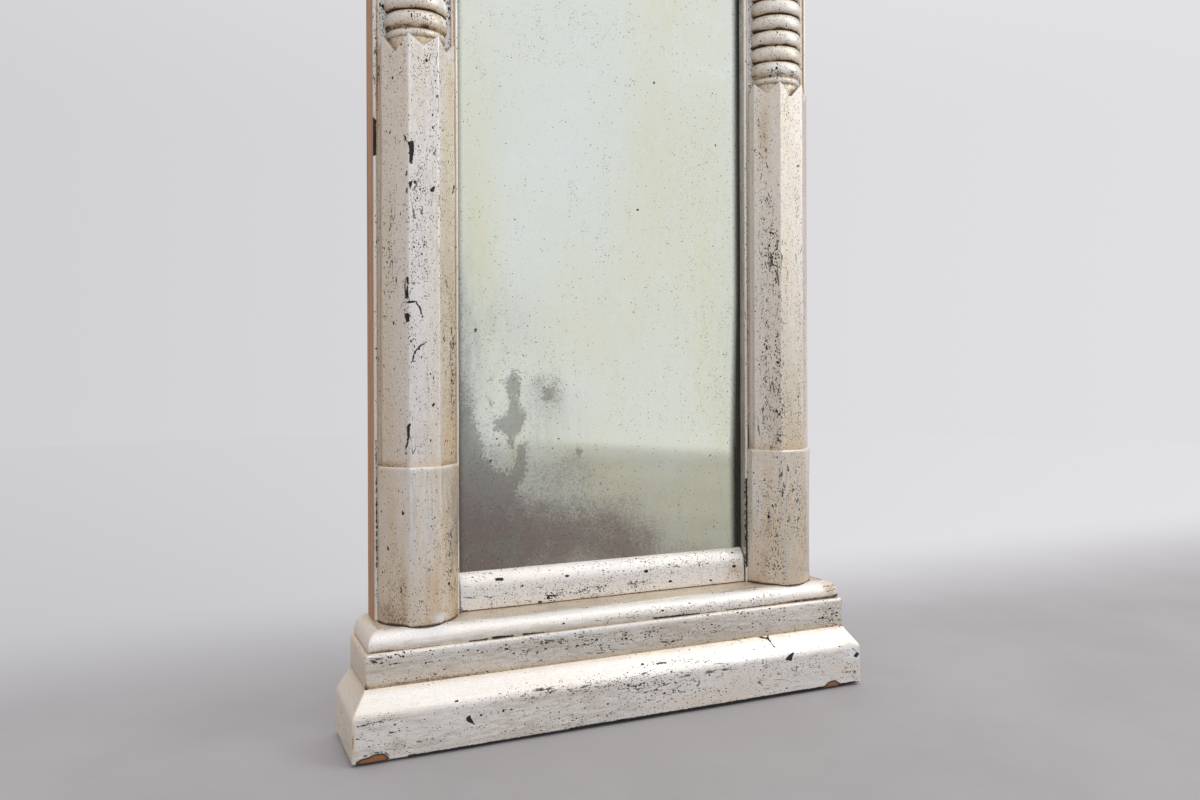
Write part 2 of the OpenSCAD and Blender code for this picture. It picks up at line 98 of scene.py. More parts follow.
class MouldingSizes(bpy.types.PropertyGroup):
    grid: bpy.props.FloatProperty(
        name="Grid", description="Spacing of the points on a moulding's face",
        default=1.7 * MM, min=0.5 * MM, unit="LENGTH")
    arris: bpy.props.FloatProperty(
        name="Arris", description="Radius of a worn edge", default=1.2 * MM, min=0.1 * MM, unit="LENGTH")
    corner: bpy.props.FloatProperty(
        name="Corner", description="Radius of the plinth's worn upright corners",
        default=2.2 * MM, min=0.1 * MM, unit="LENGTH")
    waver: bpy.props.FloatProperty(
        name="Waver", description="How far hand-worked faces depart from flat",
        default=0.35 * MM, min=0.0, unit="LENGTH")
    step_face: bpy.props.FloatProperty(
        name="Step face", description="Height of the step moulding's upright face",
        default=50 * MM, min=10 * MM, unit="LENGTH")
    step_arris: bpy.props.FloatProperty(
        name="Step arris", description="Radius of the worn edge between the step's face and its slope",
        default=14 * MM, min=1 * MM, unit="LENGTH")
    lift: bpy.props.FloatProperty(
        name="Lift", description="Height of the shadow gap under the worn front edge",
        default=3.2 * MM, min=0.0, unit="LENGTH")
    lift_depth: bpy.props.FloatProperty(
        name="Lift depth", description="How far the shadow gap runs in",
        default=18 * MM, min=2 * MM, unit="LENGTH")
    cap_round: bpy.props.FloatProperty(
        name="Cap round", description="Height of the cap's rounded edge",
        default=16 * MM, min=2 * MM, unit="LENGTH")
    cap_depth: bpy.props.FloatProperty(
        name="Cap depth", description="Depth of the cap's rounded edge",
        default=12 * MM, min=2 * MM, unit="LENGTH")
    ledge: bpy.props.FloatProperty(
        name="Ledge", description="Radius of the board's upper edge",
        default=4 * MM, min=1 * MM, unit="LENGTH")
    sill_round: bpy.props.FloatProperty(
        name="Sill round", description="Height of the sight moulding's rounded edge",
        default=20 * MM, min=2 * MM, unit="LENGTH")


class ColumnSizes(bpy.types.PropertyGroup):
    bevel: bpy.props.FloatProperty(
        name="Bevel", description="Width of the shaft's bevel, along X and along Y",
        default=24 * MM, min=5 * MM, unit="LENGTH")
    crown_cut: bpy.props.FloatProperty(
        name="Crown cut", description="Depth of the V cuts of a crown",
        default=17 * MM, min=2 * MM, unit="LENGTH")
    neck: bpy.props.FloatProperty(
        name="Neck", description="Plain neck between a crown's points and the first ring",
        default=9 * MM, min=2 * MM, unit="LENGTH")
    collar: bpy.props.FloatProperty(
        name="Collar", description="How far the collar below the first ring swells",
        default=2.5 * MM, min=0.5 * MM, unit="LENGTH")
    rings: bpy.props.IntProperty(name="Rings", description="Number of turned rings", default=10, min=1)
    groove: bpy.props.FloatProperty(
        name="Groove", description="Depth of the groove between two rings",
        default=4.5 * MM, min=1 * MM, unit="LENGTH")
    arris: bpy.props.FloatProperty(
        name="Arris", description="Radius of a shaft's worn edges", default=2.4 * MM, min=0.1 * MM,
        unit="LENGTH")
    sink: bpy.props.FloatProperty(
        name="Sink", description="How far a foot comes down over the cap's rounded edge",
        default=1.2 * MM, min=0.0, unit="LENGTH")


class SilverFinish(bpy.types.PropertyGroup):
    leaf: bpy.props.FloatVectorProperty(
        name="Leaf", description="Aged silver leaf", subtype="COLOR", size=4,
        default=(0.685, 0.628, 0.532, 1.0))
    bright: bpy.props.FloatVectorProperty(
        name="Bright leaf", description="Rubbed, brighter leaf", subtype="COLOR", size=4,
        default=(0.85, 0.82, 0.775, 1.0))
    # The toning colour also paints shade: on the left return, on the shafts' bevels, in the rings' grooves
    # and under the rings.
    toning_and_shade: bpy.props.FloatVectorProperty(
        name="Toning and shade", description="Varnish that has gathered in the hollows", subtype="COLOR", size=4,
        default=(0.665, 0.51, 0.325, 1.0))
    # The crevice colour also paints the shade deep in the rings' grooves.
    crevice: bpy.props.FloatVectorProperty(
        name="Crevice", description="Dirt in the narrow quirks", subtype="COLOR", size=4,
        default=(0.055, 0.036, 0.022, 1.0))
    # The bole colour also paints the shadow line along the plinth step's bottom edge.
    bole: bpy.props.FloatVectorProperty(
        name="Bole", description="Dark ground that shows where leaf is lost", subtype="COLOR", size=4,
        default=(0.014, 0.011, 0.010, 1.0))
    gesso: bpy.props.FloatVectorProperty(
        name="Gesso", description="White ground that shows where leaf is rubbed through",
        subtype="COLOR", size=4, default=(0.73, 0.745, 0.765, 1.0))
    wood: bpy.props.FloatVectorProperty(
        name="Chipped wood", description="Pine that shows in a deep chip", subtype="COLOR", size=4,
        default=(0.19, 0.068, 0.025, 1.0))


class PlateFinish(bpy.types.PropertyGroup):
    grid: bpy.props.FloatProperty(
        name="Grid", description="Spacing of the points on the plate's lower part",
        default=2.5 * MM, min=1 * MM, unit="LENGTH")
    tint: bpy.props.FloatVectorProperty(
        name="Tint", description="Green tone of the old plate", subtype="COLOR", size=4,
        default=(0.735, 0.78, 0.69, 1.0))
    straw: bpy.props.FloatVectorProperty(
        name="Straw", description="Yellowed zones of the silvering", subtype="COLOR", size=4,
        default=(0.735, 0.745, 0.565, 1.0))
    bloom: bpy.props.FloatVectorProperty(
        name="Bloom", description="Grey-brown where the silvering has gone", subtype="COLOR", size=4,
        default=(0.147, 0.113, 0.102, 1.0))
    chill: bpy.props.FloatVectorProperty(
        name="Chill", description="Blue-grey at the cloud's upper edge", subtype="COLOR", size=4,
        default=(0.195, 0.205, 0.190, 1.0))


class WoodFinish(bpy.types.PropertyGroup):
    stain: bpy.props.FloatVectorProperty(
        name="Stained pine", description="Orange-brown stain on the stiles", subtype="COLOR", size=4,
        default=(0.47, 0.22, 0.085, 1.0))
    old: bpy.props.FloatVectorProperty(
        name="Old pine", description="Bare pine of the back", subtype="COLOR", size=4,
        default=(0.34, 0.21, 0.11, 1.0))


class StageSizes(bpy.types.PropertyGroup):
    lens: bpy.props.FloatProperty(name="Lens", description="Focal length in millimetres", default=29.27)
    turn: bpy.props.FloatProperty(
        name="Turn", description="How far the camera looks to the right", default=0.4096, unit="ROTATION")
    place: bpy.props.FloatVectorProperty(
        name="Place", description="Where the camera stands", subtype="TRANSLATION", unit="LENGTH",
        default=(-0.4826, -1.0664, 0.4149))
    rise: bpy.props.FloatProperty(
        name="Rise", description="Vertical shift of the lens", default=-0.0325)
    floor: bpy.props.FloatVectorProperty(
        name="Floor", description="Colour of the floor", subtype="COLOR", size=4,
        default=(0.365, 0.352, 0.352, 1.0))
    backdrop: bpy.props.FloatVectorProperty(
        name="Backdrop", description="Tint of the pale background", subtype="COLOR", size=4,
        default=(0.975, 0.965, 1.0, 1.0))
    roll: bpy.props.FloatProperty(
        name="Roll", description="How far the camera leans", default=0.0035, unit="ROTATION")


def settings():
    """The scene's own sizes and colours."""
    return bpy.context.scene.pier_mirror


# Arrays: noise, outlines and grids

NOISE_SIDE = 32
# A corner's curve takes up at most this share of its runs, and its half opening has at least this tangent
LONGEST_CURVE = 0.45
SHARPEST = 0.3
SHARP_EDGE = math.radians(40)
# Sizes and shares of the hollows on a hand-worked face
LONG_HOLLOW, SHORT_HOLLOW = 50 * MM, 14 * MM
LONG_SHARE, SHORT_SHARE = 0.7, 0.3


def lattice_noise(points, size, seed):
    """Smooth random values from -1 to 1 at points of shape (..., 3).

    Random values stand at the corners of cubes of the given size, and inside a cube they are blended
    along each axis by 3t^2 - 2t^3.
    """
    table = np.random.default_rng(seed).uniform(-1.0, 1.0, (NOISE_SIDE, NOISE_SIDE, NOISE_SIDE))
    place = np.asarray(points) / np.asarray(size)
    cell = np.floor(place).astype(int)
    t = place - cell
    t = t * t * (3.0 - 2.0 * t)
    total = np.zeros(place.shape[:-1])
    for corner in np.ndindex(2, 2, 2):
        index = (cell + corner) % NOISE_SIDE
        share = np.prod(np.where(corner, t, 1.0 - t), axis=-1)
        total += share * table[index[..., 0], index[..., 1], index[..., 2]]
    return total


def unit(vectors):
    """Vectors of length 1 along the last axis."""
    return vectors / np.maximum(np.linalg.norm(vectors, axis=-1, keepdims=True), 1e-12)


def shoulder(depth, height, count=14):
    """Points (depth, height) on a circular arc that leaves an upright face and climbs to a ledge.

    The arc turns by 2 atan(depth / height) with radius height / sin(turn).
    """
    turn = 2.0 * math.atan2(depth, height)
    radius = height / math.sin(turn)
    angles = np.linspace(0.0, turn, count)
    return np.stack([radius * (1.0 - np.cos(angles)), radius * np.sin(angles)], axis=1)


def eased_slope(depth, height, radius, count=8):
    """Points (depth, height) from an upright face, round a worn edge, up a straight slope.

    The edge turns by atan(depth / height) and begins radius tan(turn / 2) below height 0.
    """
    turn = math.atan2(depth, height)
    angles = np.linspace(0.0, turn, count)
    climb = radius * np.sin(angles) - radius * math.tan(turn / 2.0)
    edge = np.stack([radius * (1.0 - np.cos(angles)), climb], axis=1)
    return np.concatenate([edge, [[depth, height]]])


def soft_line(corners, radii, spacing, closed=True, arc=4):
    """Line through the corners, each replaced by a curve of its radius, with evenly cut straight runs.

    A corner's curve is the parabola (1-t)^2 a + 2t(1-t) c + t^2 b between the points where it leaves and
    meets its two straight runs. spacing holds the longest step of the run that follows each corner.
    """
    corners = np.asarray(corners, float)
    count = len(corners)
    radii = np.broadcast_to(np.asarray(radii, float), count)
    spacing = np.broadcast_to(np.asarray(spacing, float), count)
    before = unit(np.roll(corners, 1, axis=0) - corners)
    after = unit(np.roll(corners, -1, axis=0) - corners)
    opening = np.arccos(np.clip(np.sum(before * after, axis=1), -1.0, 1.0))
    reach = radii / np.maximum(np.tan(opening / 2.0), SHARPEST)
    runs = np.linalg.norm(np.roll(corners, -1, axis=0) - corners, axis=1)
    reach = np.minimum(reach, LONGEST_CURVE * np.minimum(runs, np.roll(runs, 1)))
    leave = corners + before * reach[:, None]
    meet = corners + after * reach[:, None]
    if not closed:
        leave[0] = meet[0] = corners[0]
        leave[-1] = meet[-1] = corners[-1]
    t = np.linspace(0.0, 1.0, arc + 1)[:, None]
    pieces = []
    for i in range(count):
        curved = reach[i] > 1e-7 and (closed or 0 < i < count - 1)
        if curved:
            pieces.append((1 - t) ** 2 * leave[i] + 2 * t * (1 - t) * corners[i] + t ** 2 * meet[i])
        else:
            pieces.append(corners[i:i + 1])
        if closed or i < count - 1:
            start, stop = meet[i] if curved else corners[i], leave[(i + 1) % count]
            steps = max(1, math.ceil(np.linalg.norm(stop - start) / spacing[i]))
            pieces.append(start + (stop - start) * np.linspace(0.0, 1.0, steps + 1)[1:-1, None])
    return np.concatenate(pieces)


def shell(name, points, layers):
    """Closed mesh from rings of points, shape (rings, around, 3), with layers of values on its points.

    Quads join each ring to the next, and one face closes each end. The faces are turned outwards when
    the sum of (a x b) . c over the shell's triangles is negative.
    """
    rings, around = points.shape[:2]
    index = np.arange(rings * around).reshape(rings, around)
    here, there = index[:-1], index[1:]
    quads = np.stack([here, np.roll(here, -1, axis=1), np.roll(there, -1, axis=1), there], axis=-1)
    quads = quads.reshape(-1, 4)
    caps = [index[0][::-1], index[-1]]
    flat = points.reshape(-1, 3)
    middle = flat.mean(axis=0)
    corners = flat[quads] - middle
    volume = np.sum(np.cross(corners[:, 0], corners[:, 1]) * corners[:, 2])
    volume += np.sum(np.cross(corners[:, 0], corners[:, 2]) * corners[:, 3])
    if volume < 0:
        quads = quads[:, ::-1]
        caps = [cap[::-1] for cap in caps]
    mesh = bpy.data.meshes.new(name)
    mesh.vertices.add(len(flat))
    mesh.vertices.foreach_set("co", flat.astype(np.float32).ravel())
    loops = np.concatenate([quads.ravel(), *caps]).astype(np.int32)
    mesh.loops.add(len(loops))
    mesh.loops.foreach_set("vertex_index", loops)
    starts = np.concatenate([np.arange(len(quads)) * 4, [len(quads) * 4, len(quads) * 4 + around]])
    mesh.polygons.add(len(starts))
    mesh.polygons.foreach_set("loop_start", starts.astype(np.int32))
    mesh.update(calc_edges=True)
    mesh.polygons.foreach_set("use_smooth", np.ones(len(starts), bool))
    mesh.set_sharp_from_angle(angle=SHARP_EDGE)
    for key, values in layers.items():
        values = np.broadcast_to(values, (rings, around)).astype(np.float32)
        mesh.attributes.new(key, "FLOAT", "POINT").data.foreach_set("value", values.ravel())
    mesh.validate()
    piece = bpy.data.objects.new(name, mesh)
    bpy.context.scene.collection.objects.link(piece)
    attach(piece, "frame")
    return piece


def outward(points):
    """Directions square to a closed grid of points, from the cross product of its two tangents."""
    along = np.gradient(points, axis=0)
    across = np.roll(points, -1, axis=1) - np.roll(points, 1, axis=1)
    normal = unit(np.cross(along, across))
    middle = points.mean(axis=1, keepdims=True)
    inward = np.sum(normal * (points - middle)) < 0
    return -normal if inward else normal


def weather(points, seed, waver, hold):
    """Moves a face in and out by up to waver, in long shallow hollows, and not where hold is 0."""
    depth = LONG_SHARE * lattice_noise(points, LONG_HOLLOW, seed)
    depth += SHORT_SHARE * lattice_noise(points, SHORT_HOLLOW, seed + 1)
    return points + outward(points) * (waver * depth * hold)[..., None]


# Marks of wear, and a painted shadow along the step's bottom edge, drawn on the front as x and z in
# millimetres. A mark is a kind, how far it is grown, and its outline: one point makes a dot, two make a
# line, and an outline that runs there and back makes a bent line.

MARKS = {
    "lower_shaft_left": [
        ("dark", 0.0, [(-254, 651), (-248, 653), (-247, 646), (-249, 628), (-252, 627), (-253, 643)]),
        ("dark", 0.5, [(-257, 659), (-256, 653), (-253.5, 650)]),
        ("dark", 0.2, [(-253, 608), (-249, 610), (-251, 599), (-252, 600)]),
        ("dark", 0.9, [(-255, 620), (-255, 615)]),
        ("dark", 0.9, [(-255, 601), (-255, 596)]),
        ("dark", 0.3, [(-231, 601), (-225, 605.5), (-225.5, 600), (-228.5, 598.5)]),
        ("dark", 0.8, [(-197, 612), (-200, 602)]),
        ("dark", 0.7, [(-233, 569), (-227, 569)]),
        ("dark", 0.5, [(-262, 704), (-256, 703)]),
        ("dark", 0.5, [(-249, 702), (-247, 700)]),
        ("dark", 0.9, [(-256, 525)]),
        ("dark", 0.8, [(-242, 519)]),
        ("dark", 0.0, [(-256, 507), (-253, 506), (-254, 493), (-253, 482), (-257, 483), (-257, 490),
                       (-255, 497)]),
        ("dark", 0.6, [(-250, 499.5), (-240, 499.7)]),
        ("dark", 0.8, [(-258.5, 478.7), (-247, 479.8), (-245, 478.8)]),
        ("dark", 1.1, [(-245, 477.5), (-241.5, 473), (-239, 463), (-241.5, 473)]),
        ("dark", 0.0, [(-258, 467), (-253, 467.5), (-252.5, 459), (-256, 456)]),
        ("dark", 1.0, [(-235, 435.5), (-242, 431.5), (-247, 425.6), (-249.4, 418), (-249.4, 414),
                       (-249.4, 418), (-247, 425.6), (-242, 431.5)]),
        ("dark", 0.3, [(-229, 368.5), (-225, 370.5), (-227, 364)]),
        ("dark", 0.3, [(-255.5, 346), (-252, 349), (-253.3, 341), (-253.4, 334), (-255, 325), (-256.5, 321.5),
                       (-255, 333)]),
        ("dark", 0.2, [(-256.6, 320.7), (-257.6, 315), (-255.5, 315.6)]),
    ],
    "outer_bead_left": [
        ("dark", 0.6, [(-284.5, 683), (-281.6, 680), (-281.4, 641), (-284.5, 641)]),
        ("dark", 1.4, [(-283, 469)]),
        ("dark", 1.2, [(-277, 757)]),
        ("dark", 1.0, [(-279, 747)]),
        ("dark", 1.2, [(-279, 737)]),
        ("dark", 0.5, [(-282.5, 330), (-282, 240), (-282.3, 190)]),
    ],
    "foot_left": [
        ("dark", 1.9, [(-208.7, 171)]),
        ("dark", 0.8, [(-262, 174), (-262, 167)]),
        ("dark", 0.5, [(-219, 143), (-212, 142)]),
        ("dark", 1.0, [(-233, 128)]),
        ("dark", 0.5, [(-233, 200), (-231, 194), (-234, 188), (-231, 194)]),
    ],
    "plinth_step_front": [
        ("dark", 0.0, [(-201.5, 33.5), (-196.3, 37.5), (-190, 25), (-197.3, 29)]),
        ("dark", 1.7, [(-158.5, 35.5)]),
        ("dark", 1.5, [(-149.5, 35.8)]),
        ("dark", 0.9, [(-184, 34)]),
        ("dark", 0.7, [(-170, 35)]),
        ("dark", 1.0, [(-209.5, 52.5)]),
        ("dark", 0.7, [(-283.7, 45.3), (-291.5, 43.8), (-300.8, 43.6), (-307.7, 42.3), (-314.5, 41.8),
                       (-307.7, 42.3), (-300.8, 43.6), (-291.5, 43.8)]),
        ("dark", 0.9, [(-315, 29.4), (-310, 30.3)]),
        ("dark", 0.8, [(-274, 31), (-282, 30.6)]),
        ("dark", 0.6, [(-185.8, 34.5), (-183.2, 36.2), (-182, 34)]),
        ("dark", 0.5, [(-211.6, 53), (-209.5, 52.3), (-207.4, 53.2)]),
        ("dark", 0.8, [(12, 62), (15, 62)]),
        ("dark", 0.8, [(32, 60.5), (44, 60.5)]),
        ("dark", 0.7, [(54, 61), (58, 61)]),
        ("dark", 0.8, [(-312, 31)]),
        ("dark", 0.8, [(-303, 30)]),
        ("dark", 0.9, [(-266.5, 21)]),
        ("dark", 1.4, [(97.7, 40.4)]),
        ("dark", 0.4, [(219.5, 52.9), (215.5, 47.5), (213.5, 43.6), (209, 44.6), (205, 45.8), (210.6, 50.2)]),
        ("dark", 1.0, [(177, 73), (189.4, 70), (194.3, 60), (189.4, 70), (192, 76), (189.4, 70)]),
        ("white", 0.6, [(293, 50), (303, 52), (314, 47), (317, 38), (307, 35), (295.5, 36.5)]),
        ("dark", 0.7, [(307, 47.5), (313, 43), (317, 38.5), (313, 43)]),
        ("dark", 0.3, [(312.5, 41.5), (317, 38.7), (312.5, 34.5), (309, 37.5)]),
        ("dark", 0.2, [(292.9, 48), (294, 42), (296.1, 38.6), (294, 42)]),
        ("dark", 0.2, [(296.1, 38.6), (300, 41), (304, 36.4), (300, 41)]),
        ("dark", 0.1, [(299, 49), (303, 45.5), (307, 46), (303, 45.5)]),
        ("dark", 0.5, [(305.5, 15.1), (307.5, 11.5), (310, 9.5), (307.5, 11.5)]),
        ("dark", 0.9, [(303, 2.8), (309, 4), (316.5, 3), (309, 4)]),
        ("timber", 0.4, [(-317, 5), (-311, 8), (-303, 9), (-297, 11), (-288, 10.5), (-282.5, 6), (-284.5, 2),
                         (-312, 2)]),
        ("dark", 0.7, [(-309, 10.5), (-297, 12.5), (-287, 12), (-281, 7), (-287, 12), (-297, 12.5)]),
        ("timber", 0.3, [(-262, 4.6), (-254, 5), (-254, 2), (-262, 2)]),
        ("timber", 0.4, [(263.5, 5), (270, 9.5), (280, 10.5), (287, 6), (285, 2), (264, 2)]),
        # These two lines along the step's bottom edge paint the shadow under it in the bole's colour.
        ("dark", 1.5, [(-262, 3), (-60, 3)]),
        ("dark", 2.5, [(-80, 3), (310, 3)]),
    ],
    "plinth_board_front": [
        ("timber", 1.4, [(301, 73)]),
        ("dark", 0.8, [(-278, 96), (-264, 97.5)]),
        ("dark", 0.6, [(-299, 104.5), (-295, 101.5), (-290.5, 102.5), (-295, 101.5)]),
        ("dark", 0.6, [(-296, 99.5), (-291, 98.8)]),
        ("dark", 0.9, [(-280, 105), (-275.5, 102.8)]),
        ("dark", 0.6, [(-268, 105.5), (-266, 102)]),
        ("dark", 1.1, [(-262.3, 107)]),
        ("dark", 0.8, [(-237.5, 94), (-232, 93.6)]),
        ("dark", 1.0, [(-232.2, 101.5)]),
        ("dark", 0.9, [(-203.9, 100.1)]),
    ],
    "plinth_cap_front": [
        ("dark", 0.3, [(-303, 109.5), (-262, 109)]),
        ("dark", 0.3, [(-250, 109), (-222, 109)]),
        ("dark", 0.9, [(-190, 109.4), (-170, 109.6)]),
        ("dark", 1.9, [(-163, 110), (-141, 109)]),
        ("dark", 1.2, [(-128, 110), (-104, 109)]),
        ("dark", 0.4, [(-90, 109), (-50, 109)]),
        ("dark", 1.1, [(34, 110.5), (96, 109.5)]),
        ("dark", 0.5, [(106, 109.5), (120, 110)]),
        ("dark", 0.6, [(132, 110), (205, 109.5)]),
        ("dark", 0.3, [(205, 110.5), (262, 110.5), (301, 112), (262, 110.5)]),
        ("dark", 1.2, [(293, 111), (300, 113), (302, 117), (300, 113)]),
    ],
    "inner_bead_right": [
        ("dark", 0.6, [(190.5, 275), (193, 262), (193, 240), (193, 262)]),
        ("dark", 1.2, [(190.3, 262), (190.3, 150)]),
        ("dark", 0.6, [(200, 560), (200, 470)]),
        ("dark", 0.5, [(199.5, 720), (199.5, 600)]),
        ("dark", 0.8, [(194, 332), (195, 300)]),
    ],
    "foot_right": [
        ("dark", 1.0, [(227, 282), (228.5, 275)]),
        ("dark", 1.2, [(203, 262)]),
        ("dark", 0.6, [(208, 153), (212, 149)]),
        ("dark", 0.5, [(256, 205), (256, 182)]),
    ],
    "sill_moulding": [
        ("dark", 1.6, [(-144.5, 163), (-137, 162.5)]),
        ("dark", 1.0, [(-110, 152)]),
        ("dark", 0.5, [(-187, 142), (-186.6, 131.5), (-179, 131), (-186.6, 131.5)]),
    ],
}

# Soft clouds of wear, and white clouds of painted highlight along the plinth board's upper edge: a kind, x
# and z of the middle, half width, half height and strength

CLOUDS = {
    "lower_shaft_left": [
        ("pits", -243, 590, 10, 48, 1.1), ("pits", -240, 535, 7, 30, 0.8), ("pits", -271, 525, 5, 62, 1.3),
        ("pits", -200, 400, 7, 62, 2.1), ("pits", -203, 470, 6, 40, 0.9), ("pits", -200, 640, 8, 60, 0.6),
        ("pits", -235, 740, 34, 20, 0.9), ("pits", -218, 660, 10, 60, 0.5), ("pits", -250, 500, 8, 50, 0.4),
        ("pits", -212, 430, 4, 70, 0.7), ("tone_and_shade", -200, 330, 30, 40, 0.25), ("tone_and_shade", -272, 480, 5, 200, 0.2),
        ("white", -262, 703, 12, 3, 6.8), ("white", -244, 700, 6, 3, 7.0), ("white", -205, 754, 9, 14, 7.2),
    ],
    "lower_shaft_right": [
        ("pits", 208, 600, 6, 40, 1.6), ("pits", 214, 545, 5, 40, 2.2), ("pits", 206, 440, 5, 130, 1.8),
        ("pits", 218, 400, 4, 110, 2.2), ("pits", 262, 420, 6, 120, 1.1), ("pits", 236, 340, 34, 34, 0.8),
        ("pits", 203, 700, 5, 50, 1.5), ("pits", 245, 640, 4, 60, 0.9), ("pits", 230, 730, 12, 30, 0.8),
        ("tone_and_shade", 205, 705, 6, 44, 0.6), ("tone_and_shade", 236, 320, 40, 30, 0.25), ("tone_and_shade", 205, 420, 8, 90, 0.15),
        ("tone_and_shade", 238, 540, 16, 400, 0.10), ("pits", 246, 400, 1.6, 60, 1.6), ("pits", 229, 520, 1.4, 50, 1.5),
        ("pits", 251, 560, 1.2, 40, 1.2),
    ],
    "foot_left": [
        ("pits", -207, 200, 8, 46, 1.9), ("pits", -250, 150, 14, 20, 0.8), ("pits", -225, 215, 8, 30, 0.7),
        ("pits", -270, 180, 8, 40, 0.7), ("white", -221, 136, 12, 8, 8.0), ("tone_and_shade", -277, 148, 9, 12, 0.30),
        ("tone_and_shade", -198, 170, 6, 40, 0.25), ("tone_and_shade", -236, 165, 60, 50, 0.60),
        ("tone_and_shade", -236, 260, 60, 60, 0.18),
    ],
    "foot_right": [
        ("tone_and_shade", 202, 165, 10, 45, 0.12), ("pits", 210, 154, 9, 9, 1.5), ("tone_and_shade", 207, 200, 7, 26, 0.30),
        ("tone_and_shade", 204, 158, 7, 20, 0.35), ("pits", 222, 235, 3, 40, 1.2), ("pits", 238, 215, 4, 50, 1.2),
        ("pits", 256, 195, 2.5, 45, 1.4), ("tone_and_shade", 236, 190, 60, 60, 0.20), ("pits", 236, 245, 34, 34, 1.0),
        ("pits", 210, 200, 14, 60, 1.0), ("pits", 250, 190, 10, 60, 0.7), ("tone_and_shade", 236, 280, 60, 40, 0.15),
    ],
    # The long white cloud on the outer bead's nose paints its highlight as white ground.
    "outer_bead_left": [
        ("pits", -279, 745, 7, 50, 1.8), ("tone_and_shade", -280, 730, 6, 70, 0.3), ("pits", -279, 560, 7, 50, 0.7),
        ("pits", -279, 200, 7, 60, 1.0), ("white", -283, 450, 5, 420, 4.8),
    ],
    "sill_moulding": [
        ("pits", -70, 138, 62, 11, 2.3), ("pits", -140, 152, 30, 14, 0.8), ("pits", 25, 146, 50, 16, 1.6),
        ("pits", 105, 158, 50, 12, 1.2), ("tone_and_shade", 174, 146, 12, 9, 0.8), ("white", -184, 150, 7, 20, 9.0),
        ("pits", 160, 145, 20, 12, 0.8),
    ],
    "plinth_cap_front": [
        ("white", -235, 124, 30, 4, 6.6), ("white", -80, 127, 50, 3, 6.0), ("tone_and_shade", 289, 122, 12, 10, 0.8),
        ("pits", 289, 122, 16, 10, 1.8), ("white", 120, 127, 60, 3, 5.6), ("pits", 110, 117, 90, 5, 1.5),
        ("pits", 20, 116, 60, 5, 0.9), ("pits", -60, 122, 60, 6, 0.4), ("tone_and_shade", -285, 111, 26, 3, 0.8),
        ("tone_and_shade", 250, 111, 62, 2.6, 1.1),
    ],
    # The white clouds at heights 105 and 106 paint the highlight on the board's upper edge as white ground.
    "plinth_board_front": [
        ("pits", -292, 103, 12, 5, 2.2), ("pits", -250, 98, 26, 8, 0.7), ("pits", -130, 96, 60, 9, 1.5),
        ("pits", -40, 93, 60, 10, 1.7), ("pits", 60, 90, 70, 12, 1.3), ("pits", 170, 92, 70, 12, 1.0),
        ("pits", 283, 88, 18, 12, 2.2), ("white", -190, 105, 40, 3, 7.4), ("white", -95, 106, 50, 3, 7.8),
        ("white", 0, 106, 60, 3, 7.2), ("white", 90, 105, 40, 3, 6.4), ("tone_and_shade", -200, 84, 100, 4, 0.3),
        ("tone_and_shade", -303, 88, 2.5, 20, 0.7), ("tone_and_shade", -240, 78, 90, 5, 0.35), ("pits", -200, 79, 120, 5, 0.7),
    ],
    "plinth_step_front": [
        ("pits", -120, 50, 60, 9, 1.3), ("pits", -30, 47, 70, 9, 1.5), ("pits", -60, 12, 80, 9, 1.2),
        ("pits", 50, 36, 50, 14, 1.6), ("pits", 140, 46, 60, 10, 1.2), ("pits", 200, 30, 50, 16, 0.8),
        ("pits", 302, 22, 12, 22, 1.0), ("tone_and_shade", 303, 47, 12, 9, 0.5), ("tone_and_shade", -319, 27, 2.5, 16, 1.0),
        ("pits", -290, 44, 24, 8, 1.2), ("pits", -260, 18, 40, 12, 0.6), ("pits", 60, 60, 60, 5, 0.9),
    ],
    "inner_bead_right": [("pits", 198, 560, 10, 160, 1.0), ("tone_and_shade", 196, 400, 8, 300, 0.35)],
    "ring_turning_left": [
        ("pits", -236, 790, 40, 12, 1.0), ("tone_and_shade", -246, 783, 40, 7, 0.45), ("pits", -236, 770, 40, 8, 0.8),
    ],
    "ring_turning_right": [
        ("pits", 236, 782, 40, 6, 1.6), ("pits", 236, 770, 40, 8, 0.8), ("pits", 220, 850, 12, 60, 0.7),
    ],
}

# A layer of marks holds 0 this many millimetres outside a mark, and this value on its outline
FAR = 6.0


def reach_of(points, outline):
    """How deep points (..., 2) lie inside an outline, in its own unit, and below 0 outside.

    It is the distance to the nearest edge, with its sign from counting the edges crossed by a ray.
    """
    outline = np.atleast_2d(np.asarray(outline, float))
    nearest = np.full(points.shape[:-1], np.inf)
    inside = np.zeros(points.shape[:-1], bool)
    for a, b in zip(outline, np.roll(outline, -1, axis=0)):
        run = b - a
        t = np.clip(np.sum((points - a) * run, axis=-1) / max(float(run @ run), 1e-9), 0.0, 1.0)
        nearest = np.minimum(nearest, np.linalg.norm(points - a - t[..., None] * run, axis=-1))
        crosses = (a[1] > points[..., 1]) != (b[1] > points[..., 1])
        with np.errstate(divide="ignore", invalid="ignore"):
            at = a[0] + (points[..., 1] - a[1]) * run[0] / run[1]
        inside ^= crosses & (points[..., 0] < at)
    return np.where(inside, nearest, -nearest)


